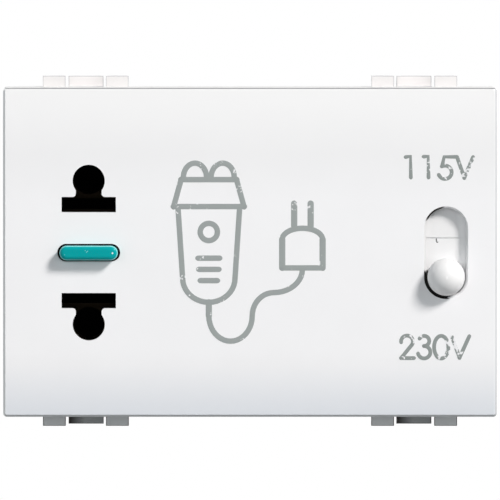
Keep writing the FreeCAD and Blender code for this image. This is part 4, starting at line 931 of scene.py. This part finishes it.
def hang_key_light(power):
    """A round lamp in front of the face, up on the right."""
    place = TARGET + KEY_DIRECTION.normalized() * KEY_DISTANCE
    deselect()
    bpy.ops.object.light_add(type="AREA", location=place)
    lamp = bpy.context.object
    lamp.name = "key_light"
    lamp.rotation_euler = (TARGET - place).to_track_quat("-Z", "Y").to_euler()
    lamp.data.shape = "DISK"
    lamp.data.size = KEY_SIZE
    lamp.data.energy = power
    lamp.data.color = KEY_COLOUR


def place_camera(scene, rise, away, width):
    """A camera this far from the face, that sees this width there."""
    back = Vector((0.0, -math.cos(rise), math.sin(rise)))
    deselect()
    bpy.ops.object.camera_add(location=TARGET + back * away)
    camera = bpy.context.object
    camera.name = "camera"
    camera.rotation_euler = (-back).to_track_quat("-Z", "Y").to_euler()
    camera.data.type = "PERSP"
    camera.data.sensor_width = SENSOR_WIDTH
    camera.data.lens = SENSOR_WIDTH * away / width
    camera.data.clip_start = CLIP_NEAR
    camera.data.clip_end = CLIP_FAR
    scene.camera = camera


class SOCKET_OT_stage(bpy.types.Operator):
    """Set up the floor, the lights, the white surroundings and the camera"""
    bl_idname = "socket.stage"
    bl_label = "Set up the studio"

    def execute(self, context):
        stage = props("socket_stage")
        scene = context.scene
        scene.view_settings.view_transform = "Standard"
        lay_floor()
        light_evenly(scene, stage.ambient)
        hang_key_light(stage.key_power)
        place_camera(scene, stage.camera_rise, stage.camera_distance, stage.picture_width)
        return {"FINISHED"}


class SOCKET_PT_panel(bpy.types.Panel):
    """Lists the steps and their settings"""
    bl_idname = "SOCKET_PT_panel"
    bl_label = "Shaver socket"
    bl_space_type = "VIEW_3D"
    bl_region_type = "UI"
    bl_category = "Shaver socket"

    def draw(self, context):
        for heading, group, operators in STEPS:
            box = self.layout.box()
            box.label(text=heading)
            settings = props(group)
            for name in settings.__annotations__:
                box.prop(settings, name)
            for operator in operators:
                box.operator(operator.bl_idname)


GROUPS = {
    "socket_finish": SOCKET_PG_finish,
    "socket_spring": SOCKET_PG_spring,
    "socket_print": SOCKET_PG_print,
    "socket_stage": SOCKET_PG_stage,
}
STEPS = (
    ("Finish", "socket_finish", (SOCKET_OT_finish,)),
    ("Spring", "socket_spring", (SOCKET_OT_spring,)),
    ("Print", "socket_print", (SOCKET_OT_marks, SOCKET_OT_symbol)),
    ("Studio", "socket_stage", (SOCKET_OT_stage,)),
)
OPERATORS = [operator for step in STEPS for operator in step[2]]
CLASSES = (*GROUPS.values(), *OPERATORS, SOCKET_PT_panel)


def register():
    for item in CLASSES:
        bpy.utils.register_class(item)
    for name, group in GROUPS.items():
        setattr(bpy.types.Scene, name, PointerProperty(type=group))


def unregister():
    for name in GROUPS:
        delattr(bpy.types.Scene, name)
    for item in reversed(CLASSES):
        bpy.utils.unregister_class(item)


def main():
    register()
    bpy.ops.socket.finish()
    bpy.ops.socket.spring()
    bpy.ops.socket.marks()
    bpy.ops.socket.symbol()
    bpy.ops.socket.stage()


if __name__ == "__main__":
    main()
